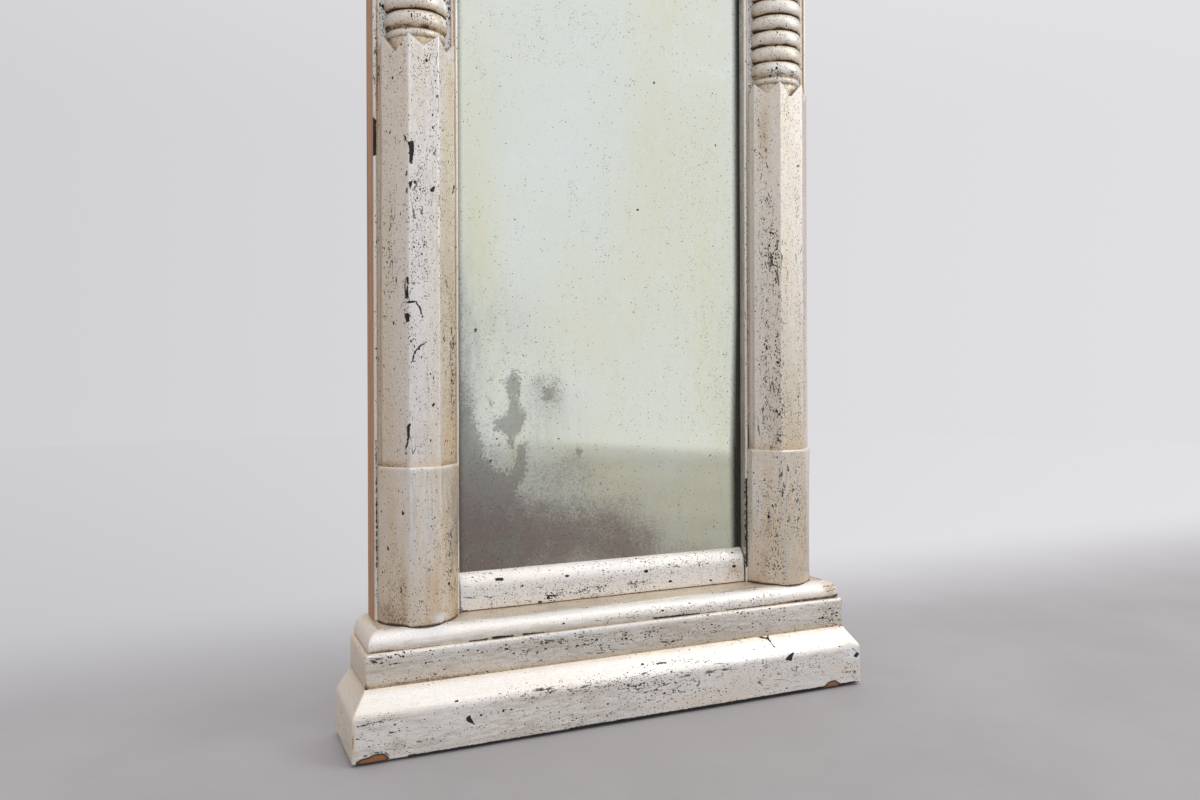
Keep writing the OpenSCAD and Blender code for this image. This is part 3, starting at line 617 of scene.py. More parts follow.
def wear_of(name, points, tone_and_shade=0.0, rub_and_highlight=0.0, pits=0.0):
    """Layers that the finish reads: toning, rubbing, pits, and the marks and clouds drawn for this piece.

    A mark's layer is the depth inside it, and a cloud adds strength exp(-(x / half width)^2 -
    (z / half height)^2), with x and z from its middle. The toning layer also carries painted shade, and
    the rubbing layer painted highlights and painted reflections.
    """
    face = np.stack([points[..., 0], points[..., 2]], axis=-1) / MM
    given = {"tone_and_shade": tone_and_shade, "rub_and_highlight": rub_and_highlight, "pits": pits, "dark": 0.0, "timber": 0.0, "white": 0.0}
    layers = {kind: np.zeros(points.shape[:-1]) + values for kind, values in given.items()}
    for kind, grow, outline in MARKS.get(name, ()):
        inside = np.clip(reach_of(face, outline) + grow, -FAR, FAR)
        layers[kind] = np.maximum(layers[kind], inside + FAR)
    for kind, x, z, half_x, half_z, strength in CLOUDS.get(name, ()):
        away = ((face[..., 0] - x) / half_x) ** 2 + ((face[..., 1] - z) / half_z) ** 2
        layers[kind] = layers[kind] + strength * np.exp(-away)
    return layers


def silver(name, points, leaf, tone_and_shade, rub_and_highlight, pits=0.0):
    """A silvered piece as a closed shell that replaces its node, with a kind of leaf and its wear."""
    # The wear layers also carry painted shade, painted highlights and painted reflections.
    piece = shell(name + "_silvered", points, wear_of(name, points, tone_and_shade, rub_and_highlight, pits))
    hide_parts(name)
    piece.data.materials.append(leaf_material(leaf))


def climbed(values, start, length):
    """0 below start and 1 from start + length on, with a straight rise between them."""
    return np.clip((values - start) / length, 0.0, 1.0)


def bump_at(values, centre, width):
    """A rounded peak of height 1 at centre: exp(-((v - centre) / width)^2)."""
    return np.exp(-((values - centre) / width) ** 2)


# Strips of moulding around the plinth and the entablature

def strip_points(loop, half, face, mitre, side):
    """Rings of points for a profile loop of (depth, height) carried along the front or a return.

    Each height's outline is a rectangle set back by the depth, with its corner rounded, and the piece
    ends on the mitre, where the rounding has turned by 45 degrees.
    """
    sizes = settings().mouldings
    depth = np.minimum(loop[:, 0], mitre)
    width = half - depth
    front = face - loop[:, 0]
    radius = np.where(loop[:, 0] < mitre * 0.9, sizes.corner, 0.0)
    turn = np.linspace(0.0, math.pi / 4, 5)[:, None]
    if side == 0:
        straight = np.linspace(-1.0, 1.0, math.ceil(2 * half / sizes.grid))[:, None]
        x = straight * (width - radius)
        y = np.broadcast_to(front, x.shape)
        end_x = width - radius + radius * np.sin(turn)
        end_y = front - radius + radius * np.cos(turn)
        x = np.concatenate([-end_x[:0:-1], x, end_x[1:]])
        y = np.concatenate([end_y[:0:-1], y, end_y[1:]])
    else:
        straight = np.linspace(0.0, 1.0, math.ceil(face / sizes.grid))[:, None]
        y = straight * (face - depth - radius)
        x = np.broadcast_to(width, y.shape)
        end_x = width - radius + radius * np.cos(turn)
        end_y = face - depth - radius + radius * np.sin(turn)
        x = side * np.concatenate([x, end_x[1:]])
        y = np.concatenate([y, end_y[1:]])
    z = np.broadcast_to(loop[:, 1], x.shape)
    return np.stack([x, BACK - y, z], axis=-1)


def turned_over(points, upper):
    """The points, or for a piece of the upper half the same upside down about the mirror's middle."""
    if not upper:
        return points
    flipped = points.copy()
    flipped[..., 2] = TOTAL_H - flipped[..., 2]
    return flipped


def build_strip(name, loop, half, face, mitre, side, upper, tone_and_shade, rub_and_highlight, seed, pits=0.0):
    """One strip of moulding. Its back and the last rows before its ends stay true."""
    end_rows = 6.0
    points = turned_over(strip_points(loop, half, face, mitre, side), upper)
    rows = np.arange(len(points))
    hold = (loop[:, 0] < mitre * 0.95) * np.clip(np.minimum(rows, rows[::-1]) / end_rows, 0.0, 1.0)[:, None]
    points = weather(points, seed, settings().mouldings.waver, hold)
    silver(name, points, "silvered_across" if side == 0 else "silvered_return", tone_and_shade, rub_and_highlight, pits)


def step_loop():
    """Profile of the step moulding: an upright face, a worn edge, a slope and a straight back."""
    sizes = settings().mouldings
    depth = STEP_HALF - BOARD_HALF
    curve = eased_slope(depth, STEP_TOP - sizes.step_face, sizes.step_arris) + (0.0, sizes.step_face)
    under = [[depth, 0.0], [sizes.lift_depth, 0.0], [sizes.lift_depth - sizes.arris, sizes.lift]]
    corners = np.concatenate([[[0.0, sizes.lift]], curve, under])
    radii = np.zeros(len(corners))
    radii[0] = 0.8 * sizes.arris
    spacing = np.full(len(corners), sizes.grid)
    spacing[-4:-2] = COARSE
    return soft_line(corners, radii, spacing), depth


def board_loop():
    """Profile of the board behind the step, with a rounded upper edge."""
    sizes = settings().mouldings
    depth = high("plinth_board_front").y - low("plinth_board_front").y
    hidden = STEP_TOP - 6 * MM
    corners = [(0.0, 0.0), (0.0, hidden), (0.0, BOARD_TOP), (depth, BOARD_TOP), (depth, 0.0)]
    radii = [0.0, 0.0, sizes.ledge, 0.0, 0.0]
    spacing = [15 * MM, sizes.grid, 3 * MM, COARSE, COARSE]
    return soft_line(corners, radii, spacing, arc=8), depth


def cap_loop(depth):
    """Profile of the cap: a low upright edge, a rounded shoulder and a flat top."""
    sizes = settings().mouldings
    bottom = low("plinth_cap_front").z
    curve = shoulder(sizes.cap_depth, sizes.cap_round) + (0.0, BASE_Z - sizes.cap_round)
    corners = np.concatenate([[[0.0, bottom]], curve, [[depth, BASE_Z], [depth, bottom]]])
    radii = np.zeros(len(corners))
    radii[0] = sizes.arris
    spacing = np.full(len(corners), sizes.grid)
    spacing[-2:] = COARSE
    return soft_line(corners, radii, spacing)


def build_storey(names, upper, seed):
    """The step, board and cap of the plinth, or the same pieces of the entablature.

    Toning gathers in the quirks between them, and painted shade darkens all over the left return. The
    board's upper edge and the cap's rounded edge are rubbed, and brightened with painted highlight.
    """
    step, board, cap = names
    sizes = settings().mouldings
    worn = sizes.step_face + 1 * MM
    for side, part in ((0, "front"), (-1, "left"), (1, "right")):
        left = side == -1
        # On the left return the toning is raised all over: painted shade on the side turned away from the
        # light.
        aside = 0.54 if left else 0.0
        step_quirk, board_quirk = (0.25, 0.3) if left else (0.50, 0.85)

        loop, depth = step_loop()
        tone_and_shade = step_quirk * bump_at(loop[:, 1], STEP_TOP, 4 * MM) * (loop[:, 0] > 0) + aside
        tone_and_shade += 0.25 * bump_at(loop[:, 1], 0.0, 4 * MM)
        rub_and_highlight = 0.60 - 0.06 * climbed(loop[:, 1], worn, 3 * MM)
        pits = -0.55 * bump_at(loop[:, 1], worn + 7 * MM, 10 * MM)
        build_strip(f"{step}_{part}", loop, STEP_HALF, BACK - low("plinth_step_front").y, depth, side,
                    upper, tone_and_shade, rub_and_highlight, seed, pits)

        loop, depth = board_loop()
        tone_and_shade = board_quirk * bump_at(loop[:, 1], STEP_TOP + 1 * MM, 4 * MM)
        tone_and_shade += 0.2 * bump_at(loop[:, 1], BOARD_TOP, 3 * MM) + aside
        # The rubbed band on the board's rounded upper edge is partly wear and partly painted highlight.
        rub_and_highlight = 0.7 * bump_at(loop[:, 1], BOARD_TOP - 2 * MM, 4 * MM)
        build_strip(f"{board}_{part}", loop, BOARD_HALF, BACK - low("plinth_board_front").y, depth, side,
                    upper, tone_and_shade, rub_and_highlight, seed + 10)

        mitre = CAP_HALF - STILE_OUT
        loop = cap_loop(CAP_OUT - STILE_FRONT if side == 0 else mitre)
        bottom = loop[0, 1]
        tone_and_shade = 0.55 * climbed(loop[:, 0], sizes.cap_depth, 6 * MM) + aside
        tone_and_shade += 0.5 * bump_at(loop[:, 1], bottom, 2 * MM) * (loop[:, 0] < 6 * MM)
        # The rubbed band on the cap's rounded edge is partly wear and partly painted highlight.
        rub_and_highlight = 0.98 * bump_at(loop[:, 0], 5 * MM, 6 * MM) * (loop[:, 1] > bottom + 3 * MM)
        pits = -0.5 * bump_at(loop[:, 0], 3 * MM, 6 * MM)
        build_strip(f"{cap}_{part}", loop, CAP_HALF, CAP_OUT, mitre, side, upper, tone_and_shade, rub_and_highlight, seed + 20, pits)


# Sight mouldings and beads

SILL_RUB = 0.92
BEAD_NOSE, BEAD_FILLET = 4 * MM, 2.2 * MM
BEAD_STEP = 2.5 * MM
# How far a bar's end is drawn in, as a share of its arris
END_INSET = 0.7


def bar_points(loop, start, stop, spacing, axis):
    """Rings of points for a loop carried straight along one axis, 0 for X and 2 for Z.

    The loop's two columns are the other two coordinates, and the ring at each end is drawn in towards
    the loop's middle, so that the ends are eased.
    """
    arris = settings().mouldings.arris
    stations = np.linspace(start, stop, math.ceil(abs(stop - start) / spacing))
    stations = np.concatenate([[start], [start + arris], stations[1:-1], [stop - arris], [stop]])
    stations = np.sort(stations)
    middle = loop.mean(axis=0)
    inset = loop + unit(middle - loop) * arris * END_INSET
    rings = np.broadcast_to(loop, (len(stations), *loop.shape)).copy()
    rings[0] = rings[-1] = inset
    along = np.broadcast_to(stations[:, None], rings.shape[:2])
    columns = [rings[..., 0], rings[..., 1]]
    columns.insert(axis, along)
    return np.stack(columns, axis=-1)


def build_sill(name, upper, seed):
    """The moulding below or above the glass: an upright face with a long rounded edge."""
    sizes = settings().mouldings
    box_low, box_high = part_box("sill_moulding")
    depth = box_high.y - box_low.y
    curve = shoulder(depth, sizes.sill_round) + (0.0, box_high.z - sizes.sill_round)
    corners = np.concatenate([[[0.0, box_low.z]], curve, [[depth, box_low.z]]])
    spacing = np.full(len(corners), sizes.grid)
    spacing[-2:] = COARSE / 2
    radii = np.zeros(len(corners))
    radii[0] = sizes.arris
    loop = soft_line(corners, radii, spacing)
    placed = np.stack([box_low.y + loop[:, 0], loop[:, 1]], axis=1)
    points = turned_over(bar_points(placed, box_low.x, box_high.x, sizes.grid, 0), upper)
    hold = (loop[:, 0] < depth * 0.9) * np.ones(points.shape[:2])
    points = weather(points, seed, sizes.waver, hold)
    tone_and_shade = 1.4 * bump_at(loop[:, 1], box_low.z, 1.3 * MM) + 0.15 * bump_at(loop[:, 1], box_low.z, 5 * MM)
    silver(name, points, "silvered_across", tone_and_shade, SILL_RUB)


def build_bead(name, outer, side, seed):
    """An edge bead: a round nose at one edge and a flat fillet beside the column."""
    sizes = settings().mouldings
    angles = np.linspace(math.pi, 0.0, 11)
    curve = np.stack([BEAD_NOSE / 2 + BEAD_NOSE / 2 * np.cos(angles),
                      BEAD_FILLET + (BEAD_T - BEAD_FILLET) * np.sin(angles)], axis=1)
    corners = np.concatenate([[[0.0, 0.0]], curve, [[BEAD_W, BEAD_FILLET], [BEAD_W, 0.0]]])
    loop = soft_line(corners, 0.0, sizes.grid)
    x = STILE_OUT - loop[:, 0] if outer else STILE_IN + loop[:, 0]
    placed = np.stack([side * x, BACK - STILE_FRONT - loop[:, 1]], axis=1)
    points = bar_points(placed, BASE_Z, TOTAL_H - BASE_Z, BEAD_STEP, 2)
    hold = climbed(loop[:, 1], 0.0, BEAD_FILLET) * np.ones(points.shape[:2])
    points = weather(points, seed, 0.6 * sizes.waver, hold)
    groove = bump_at(loop[:, 0], BEAD_NOSE + 0.5 * MM, 1.6 * MM) * (loop[:, 1] > 0.5 * BEAD_FILLET)
    # The rubbed front of the nose is partly wear and partly painted highlight.
    rub_and_highlight = 0.9 * climbed(loop[:, 1], BEAD_FILLET, BEAD_T - BEAD_FILLET)
    silver(name, points, "silvered_upright", 0.92 * groove, rub_and_highlight)


# Columns

# Depths in millimetres of each crown's hand-cut Vs: left bevel, front, right bevel
CROWN_CUTS = {-1: (19.5, 12.5, 14.5), 1: (14.5, 18.5, 17.5)}
# Toning and painted shade of a shaft's left and right bevels, on the left and the right column
BEVEL_TONE_AND_SHADE = {-1: (0.42, 0.30), 1: (0.20, 0.12)}
FOOT_EASE = 1.5 * MM
# Over the last twelfth of its height a shaft or foot comes back to its true shape
TRUE_END = 12.0


def octagon_line(half, out, bevel, radius, spacing, foot=0.0):
    """Plan of a half octagon from its left back corner round the front, as (x, forward) points."""
    corners = [(-half, foot), (-half, out - bevel), (-half + bevel, out), (half - bevel, out),
               (half, out - bevel), (half, foot)]
    return soft_line(corners, radius, spacing, closed=False, arc=6)


def crown_height(plan, cuts):
    """Height of the crown at plan points, from the V cuts of its five faces.

    A cut runs in along its face's direction, and at a distance s beside the face's middle its floor
    lies cut * (half / bevel half) * (1 - s / half) below the points. cuts holds the depths of the left
    bevel, the front and the right bevel.
    """
    sizes = settings().columns
    side = SHAFT_OUT - sizes.bevel
    bevel_half = sizes.bevel / math.sqrt(2.0)
    front_half = COLUMN_HALF - sizes.bevel
    faces = [((0.0, SHAFT_OUT), 90.0, front_half, cuts[1])]
    for hand, cut in ((-1, cuts[0]), (1, cuts[2])):
        middle = (hand * (COLUMN_HALF - sizes.bevel / 2), side + sizes.bevel / 2)
        faces.append((middle, 90.0 - hand * 45.0, bevel_half, cut))
        deeper = sizes.crown_cut * side / bevel_half
        faces.append(((hand * COLUMN_HALF, 0.0), 90.0 - hand * 90.0, side, deeper))
    height = np.full(plan.shape[:-1], CROWN_Z)
    for middle, angle, half, depth in faces:
        normal = np.array([math.cos(math.radians(angle)), math.sin(math.radians(angle))])
        beside = (plan - middle) @ np.array([-normal[1], normal[0]])
        inward = -((plan - middle) @ normal)
        floor = CROWN_Z - depth * (1.0 - np.abs(beside) / half)
        cut = (np.abs(beside) < half) & (inward < COLUMN_HALF)
        height = np.where(cut, np.minimum(height, floor), height)
    return height


def place_column(plan, z, side):
    """Plan points (x, forward of the stile) and heights as places in the frame."""
    return np.stack([side * COLUMN_X + plan[..., 0], BACK - STILE_FRONT - plan[..., 1],
                     np.broadcast_to(z, plan.shape[:-1])], axis=-1)


def build_shaft(name, side, upper, seed):
    """A half-octagonal shaft whose top is cut to points around the neck.

    Rings climb from the foot to the crown's height at each point of the plan, run in across the crown
    to the neck's circle, and go down inside it.
    """
    sizes, mouldings = settings().columns, settings().mouldings
    plan = octagon_line(COLUMN_HALF, SHAFT_OUT, sizes.bevel, sizes.arris, mouldings.grid)
    x, forward = plan[:, 0], plan[:, 1]
    inner = (TURN_R - sizes.groove + 0.2 * MM) * unit(plan + (0.0, 1e-6))
    inner[:, 1] = np.maximum(inner[:, 1], 0.3 * MM)
    cuts = [depth * MM for depth in CROWN_CUTS[side]]
    top = crown_height(plan + unit(-plan) * 0.05 * MM, cuts)
    rows = np.linspace(0.0, 1.0, math.ceil((CROWN_Z - FOOT_TOP) / (1.25 * mouldings.grid)))
    rings = [place_column(plan, FOOT_TOP + t * (top - 0.5 * MM - FOOT_TOP), side) for t in rows]
    for share in (0.06, 0.3, 0.6, 1.0):
        across = plan + (inner - plan) * share
        rings.append(place_column(across, crown_height(across, cuts), side))
    rings.append(place_column(inner, TURN_LOW, side))
    points = turned_over(np.stack(rings), upper)
    crown_rings = len(rings) - len(rows)
    climb = np.concatenate([rows, np.ones(crown_rings)])[:, None]
    hold = climbed(1.0 - climb, 0.0, 1.0 / TRUE_END) * climbed(forward, 0.0, 4 * MM)
    points = weather(points, seed, mouldings.waver, hold)

    edges = [bump_at(np.abs(x), edge, 2 * MM) for edge in (COLUMN_HALF - sizes.bevel, COLUMN_HALF)]
    rub_and_highlight = 0.9 * bump_at((top - FOOT_TOP) * (1.0 - climb), 0.0, 3 * MM)
    rub_and_highlight = np.maximum(rub_and_highlight, 0.35 * np.max(edges, axis=0))
    # On the right column the left bevel is rubbed brighter: painted reflection of the plate beside it.
    if side == 1:
        rub_and_highlight = np.maximum(rub_and_highlight, 0.55 * climbed(-x, COLUMN_HALF - sizes.bevel, 3 * MM))
        # A narrow line on the side face beside the inner bead is rubbed to white: a painted highlight.
        beside = (x < 0.5 * MM - COLUMN_HALF) * bump_at(forward, 7 * MM, 3.5 * MM)
        rub_and_highlight = np.maximum(rub_and_highlight, 1.9 * beside * np.clip(climb * 40.0 - 0.5, 0.0, 1.0))
    tone_and_shade = 0.5 * bump_at((top - FOOT_TOP) * climb, 0.0, 8 * MM) + 0.5 * bump_at(forward, 0.0, 4 * MM)
    for hand, shade in zip((-1, 1), BEVEL_TONE_AND_SHADE[side]):
        tone_and_shade += shade * climbed(hand * x, COLUMN_HALF - sizes.bevel, 3 * MM)
    tone_and_shade[-crown_rings:] = 1.0
    tone_and_shade[-crown_rings] = 0.1
    silver(name, points, "silvered_upright", tone_and_shade, rub_and_highlight)


def cap_height(out):
    """Height of the plinth cap's top at a distance out from the back: flat, then down the rounded edge."""
    sizes = settings().mouldings
    turn = 2.0 * math.atan2(sizes.cap_depth, sizes.cap_round)
    radius = sizes.cap_round / math.sin(turn)
    inset = np.clip(CAP_OUT - out, 0.0, sizes.cap_depth)
    drop = sizes.cap_round - np.sqrt(radius ** 2 - (radius - inset) ** 2)
    return BASE_Z - np.clip(drop, 0.0, sizes.cap_round)


def build_foot(name, side, upper, seed):
    """The plain foot below a shaft: half an octagon above that fades to half an ellipse below.

    Its lowest points follow the cap's rounded edge, and its upper edge is eased by a quarter circle.
    """
    sizes, mouldings = settings().columns, settings().mouldings
    grow = FOOT_HALF - COLUMN_HALF
    bevel = sizes.bevel + grow
    octagon = octagon_line(FOOT_HALF, FOOT_OUT, bevel, sizes.arris, mouldings.grid, foot=BEAD_T)
    share = np.concatenate([[0.0], np.cumsum(np.linalg.norm(np.diff(octagon, axis=0), axis=1))])
    start = math.asin(BEAD_T / FOOT_OUT)
    angle = math.pi - start - share / share[-1] * (math.pi - 2 * start)
    ellipse = np.stack([FOOT_HALF * np.cos(angle), FOOT_OUT * np.sin(angle)], axis=1)
    ends = np.array([[COLUMN_HALF, BEAD_T], [COLUMN_HALF, 0.0], [-COLUMN_HALF, 0.0], [-COLUMN_HALF, BEAD_T]])
    rows = np.linspace(0.0, 1.0, math.ceil((FOOT_TOP - BASE_Z) / mouldings.grid))
    rings = []
    for t in rows:
        line = np.concatenate([ellipse + (octagon - ellipse) * t, ends])
        seat = np.maximum(cap_height(STILE_FRONT + line[:, 1]), BASE_Z - sizes.sink)
        rings.append(place_column(line, seat + t * (FOOT_TOP - FOOT_EASE - seat), side))
    for turn in (0.35, 0.7, 1.0):
        angle = turn * math.pi / 2
        drawn = octagon * (1.0 - (1.0 - math.cos(angle)) * FOOT_EASE / FOOT_OUT)
        drawn[:, 1] = np.maximum(drawn[:, 1], BEAD_T)
        z = FOOT_TOP - FOOT_EASE + FOOT_EASE * math.sin(angle)
        rings.append(place_column(np.concatenate([drawn, ends]), z, side))
    points = turned_over(np.stack(rings), upper)
    climb = np.concatenate([rows, np.ones(len(rings) - len(rows))])[:, None]
    hold = climbed(1.0 - climb, 0.0, 1.0 / TRUE_END) * climbed(climb, 0.0, 1.0 / 20.0)
    hold = hold * np.concatenate([np.ones(len(octagon)), np.zeros(len(ends))])
    points = weather(points, seed, mouldings.waver, hold)

    left = side == -1
    height = climb * (FOOT_TOP - BASE_Z)
    across = np.concatenate([octagon[:, 0], np.full(len(ends), COLUMN_HALF)])
    facing = climbed(-across, FOOT_HALF - bevel, 3 * MM)
    rub_and_highlight = 0.8 * bump_at(height, FOOT_TOP - BASE_Z, 2.5 * MM)
    rub_and_highlight = np.maximum(rub_and_highlight, 0.5 * bump_at(np.abs(across), FOOT_HALF - bevel, 1.6 * MM) * climb)
    # The left bevel is rubbed brighter, most on the right column, where this is painted reflection of the
    # plate.
    rub_and_highlight = np.maximum(rub_and_highlight, (0.35 if left else 0.75) * facing)
    tone_and_shade = 1.3 * bump_at(height, 0.0, 1.6 * MM) + 0.4 * bump_at(height, 0.0, 14 * MM)
    tone_and_shade = tone_and_shade + 0.22 * bump_at(np.abs(across), FOOT_HALF, 8 * MM) + (0.30 if left else 0.24) * facing
    mottle = lattice_noise(points, (9 * MM, 40 * MM, 80 * MM), seed + 5)
    tone_and_shade = np.minimum(tone_and_shade + 0.42 * mottle, np.maximum(tone_and_shade, 0.60))
    silver(name, points, "silvered_upright", tone_and_shade, rub_and_highlight)


def swelling(height, steps):
    """Swelling of one round: height sin(pi t)^0.55, at steps of t from 0 to 1."""
    return height * np.sin(math.pi * np.arange(steps) / steps) ** 0.55


def build_turning(name, side, seed):
    """Half a turning: a plain neck and a collar at each end, and rings between.

    The radius of a round is neck + swelling sin(pi t)^0.55, where t runs from 0 to 1 along the round.
    Toning and painted shade fill the grooves, and painted shade darkens the start of each ring, which in
    the lower half is its underside.
    """
    sizes = settings().columns
    first = CROWN_Z + sizes.neck
    pitch = (TOTAL_H - 2 * first) / sizes.rings
    steps = 14
    seat = np.linspace(TURN_LOW, CROWN_Z, 12)[:-1]
    collar = CROWN_Z + sizes.neck * np.arange(steps) / steps
    rings = first + pitch * np.arange(sizes.rings * steps) / steps
    z = np.concatenate([seat, collar, rings, TOTAL_H - np.append(first, collar[::-1]), TOTAL_H - seat[::-1]])
    swell = swelling(sizes.collar, steps)
    bulge = np.concatenate([np.zeros(len(seat)), swell, np.tile(swelling(sizes.groove, steps), sizes.rings),
                            [0.0], swell[::-1], np.zeros(len(seat))])
    r = (TURN_R - sizes.groove + bulge)[:, None]
    angle = np.linspace(0.0, math.pi, 72)
    plan = np.stack([r * np.cos(angle), r * np.sin(angle)], axis=-1)
    points = place_column(plan, z[:, None], side)
    hold = np.clip(np.sin(angle) * 6.0, 0.0, 1.0) * np.ones(points.shape[:2])
    points = weather(points, seed, settings().mouldings.waver, hold)

    turned = (z > first) & (z < TOTAL_H - first)
    from_end = np.minimum(z, TOTAL_H - z) - first
    depth = np.where(turned, 1.0 - bulge / sizes.groove, 0.69 - 0.48 * bulge / sizes.collar)
    # Deep grooves pass into the crevice colour: dirt and painted shade.
    tone_and_shade = (1.7 * np.clip(depth, 0.0, 1.0) ** 1.25)[:, None] + 0.6 * bump_at(np.sin(angle), 0.0, 0.35)
    tone_and_shade += 0.5 * (depth > 0.98)[:, None]
    # Painted shade at the start of each ring, which in the lower half is its underside.
    phase = np.mod(from_end / pitch, 1.0)
    tone_and_shade += np.where(turned, 0.34 * np.clip(1.0 - phase / 0.45, 0.0, 1.0), 0.0)[:, None]
    crowned = from_end < 0.10 * pitch
    tone_and_shade = np.where(crowned[:, None], np.minimum(tone_and_shade, 0.92 if side == -1 else 0.62), tone_and_shade)
    tone_and_shade *= 0.86 + 0.40 * lattice_noise(points, (9 * MM, 9 * MM, 4 * MM), seed + 9)
    rub_and_highlight = 0.5 * np.clip(1.0 - 2.0 * depth, 0.0, 1.0)[:, None]
    silver(name, points, "silvered_round", tone_and_shade, rub_and_highlight)


# Plate

# Where the silvering has gone, in millimetres. A patch is an outline, and its depth inside that outline
# is divided by the second number, which softens its edge, and raised by the first.
CLOUD = [
    (0.0, 2.2, [(-206, 372), (-184, 367), (-176, 360), (-165, 353), (-163, 341), (-157, 329), (-153, 308),
           (-141, 295), (-126, 287), (-118, 304), (-116, 318), (-108, 318), (-104, 303), (-101, 291),
           (-103, 279), (-112, 262), (-125, 240), (-150, 225), (-206, 215)]),
    (1.0, 1.3, [(-122, 404), (-116, 396), (-113, 379), (-112, 362), (-107, 350), (-109, 336), (-119, 326),
           (-122, 312), (-128, 318), (-130, 330), (-140, 334), (-139, 346), (-130, 352), (-124, 362),
           (-128, 376), (-127, 392)]),
    (0.5, 1.4, [(-146, 352), (-141, 341), (-143, 328), (-138, 318), (-143, 329), (-143, 341)]),
    (1.0, 1.0, [(-153, 374), (-145, 366), (-147, 360), (-150, 365)]),
    (1.2, 1.0, [(-150, 392), (-147, 397), (-149, 393)]),
    (1.0, 1.2, [(-143, 303), (-137, 301), (-140, 298)]),
    (-5.0, 0.8, [(-94, 369), (-79, 393), (-64, 385), (-67, 367), (-82, 359)]),
    (1.6, 1.0, [(-40, 308), (-34, 306), (-37, 303)]),
    (0.9, 1.0, [(-17, 310), (-14, 305), (-15, 308)]),
    (-1.0, 1.6, [(-188, 425), (-183, 410), (-179, 396), (-173, 382), (-188, 363)]),
]
# Where it thins out, in millimetres: middle, half widths and density
THIN = [(-175, 200, 70, 92, 1.0), (-70, 203, 76, 54, 0.80), (22, 190, 52, 50, 0.62), (90, 172, 80, 22, 0.32),
        (-190, 345, 24, 70, 0.46), (-192, 450, 18, 110, 0.34), (-125, 345, 36, 52, 0.12),
        (-78, 378, 26, 26, 0.42), (-48, 290, 44, 26, 0.30)]
# Where it is only dulled
DULL = [(-200, 425, 38, 120, 0.95), (-128, 460, 44, 40, 0.26), (-78, 338, 42, 34, 0.34),
        (10, 420, 150, 90, 0.06), (175, 420, 24, 160, 0.16), (110, 220, 90, 40, 0.12)]
# Where specks crowd, where it is straw-coloured, and where it is milky
PITS = [(-10, 232, 50, 45, 0.9), (-30, 815, 90, 30, 0.3), (130, 620, 50, 130, 0.4), (160, 350, 30, 130, 0.4),
        (-150, 450, 40, 60, 0.45), (-120, 400, 50, 50, 0.5), (40, 330, 60, 60, 0.1)]
STRAW = [(-170, 640, 30, 170, 0.8), (72, 700, 40, 190, 0.85), (5, 262, 30, 22, 1.3),
         (140, 540, 40, 240, 0.75), (-20, 430, 80, 80, 0.45), (-158, 520, 20, 80, 0.7),
         (80, 240, 110, 60, 1.0), (-120, 310, 14, 30, 0.6), (-50, 300, 50, 20, 0.8),
         (30, 560, 30, 120, 0.35), (0, 390, 160, 110, 0.25)]
VEIL = [(-60, 665, 65, 90, 0.6), (60, 400, 60, 60, 0.35), (-40, 380, 30, 40, 0.4), (-110, 560, 20, 120, 0.3),
        (120, 790, 60, 40, 0.3), (0, 790, 200, 80, 0.3)]
# Single spots, in millimetres: x, z and radius, and dashes from one point to another
SPOTS = [(-166, 451, 2.2), (-64, 441, 1.3), (-167, 441, 1.3), (-111, 401, 1.5), (-141, 325, 1.6),
         (-64, 322, 1.6), (34, 256, 1.0), (137, 200, 1.4), (148, 202, 1.3),
         (154, 207, 1.2), (106, 424, 1.1), (110, 458, 1.2), (65, 762, 1.8), (42, 602, 1.9), (153, 691, 1.6),
         (167, 746, 1.6), (-148, 300, 2.0), (172, 600, 1.4)]
DASHES = [[(-120, 440.5), (-114, 441.0)], [(-130, 669.0), (-128, 670.0)]]
DASH_HALF = 0.7
# The rotten edge, which beside the right bead is also painted reflection of the dark rebate: its width
# beside the right bead, what it gains there over ROT_RISE below ROT_TOP, its width at the left and its
# top above the sill
ROT_AND_REFLECTION_RIGHT, ROT_AND_REFLECTION_GAIN, ROT_TOP, ROT_RISE = 4.5, 6.0, 500.0, 200.0
ROT_LEFT, ROT_SILL = 0.5, 163.5
# Above this height, which the photograph leaves out, the plate's grid is wider and has this many rows
SEEN_TOP = 0.80
UPPER_ROWS = 100


def sum_of(x, z, clouds):
    """The sum of strength exp(-((x - a) / half_x)^2 - ((z - b) / half_z)^2) over soft clouds."""
    total = np.zeros(x.shape)
    for a, b, half_x, half_z, strength in clouds:
        total += strength * np.exp(-((x - a) / half_x) ** 2 - ((z - b) / half_z) ** 2)
    return total


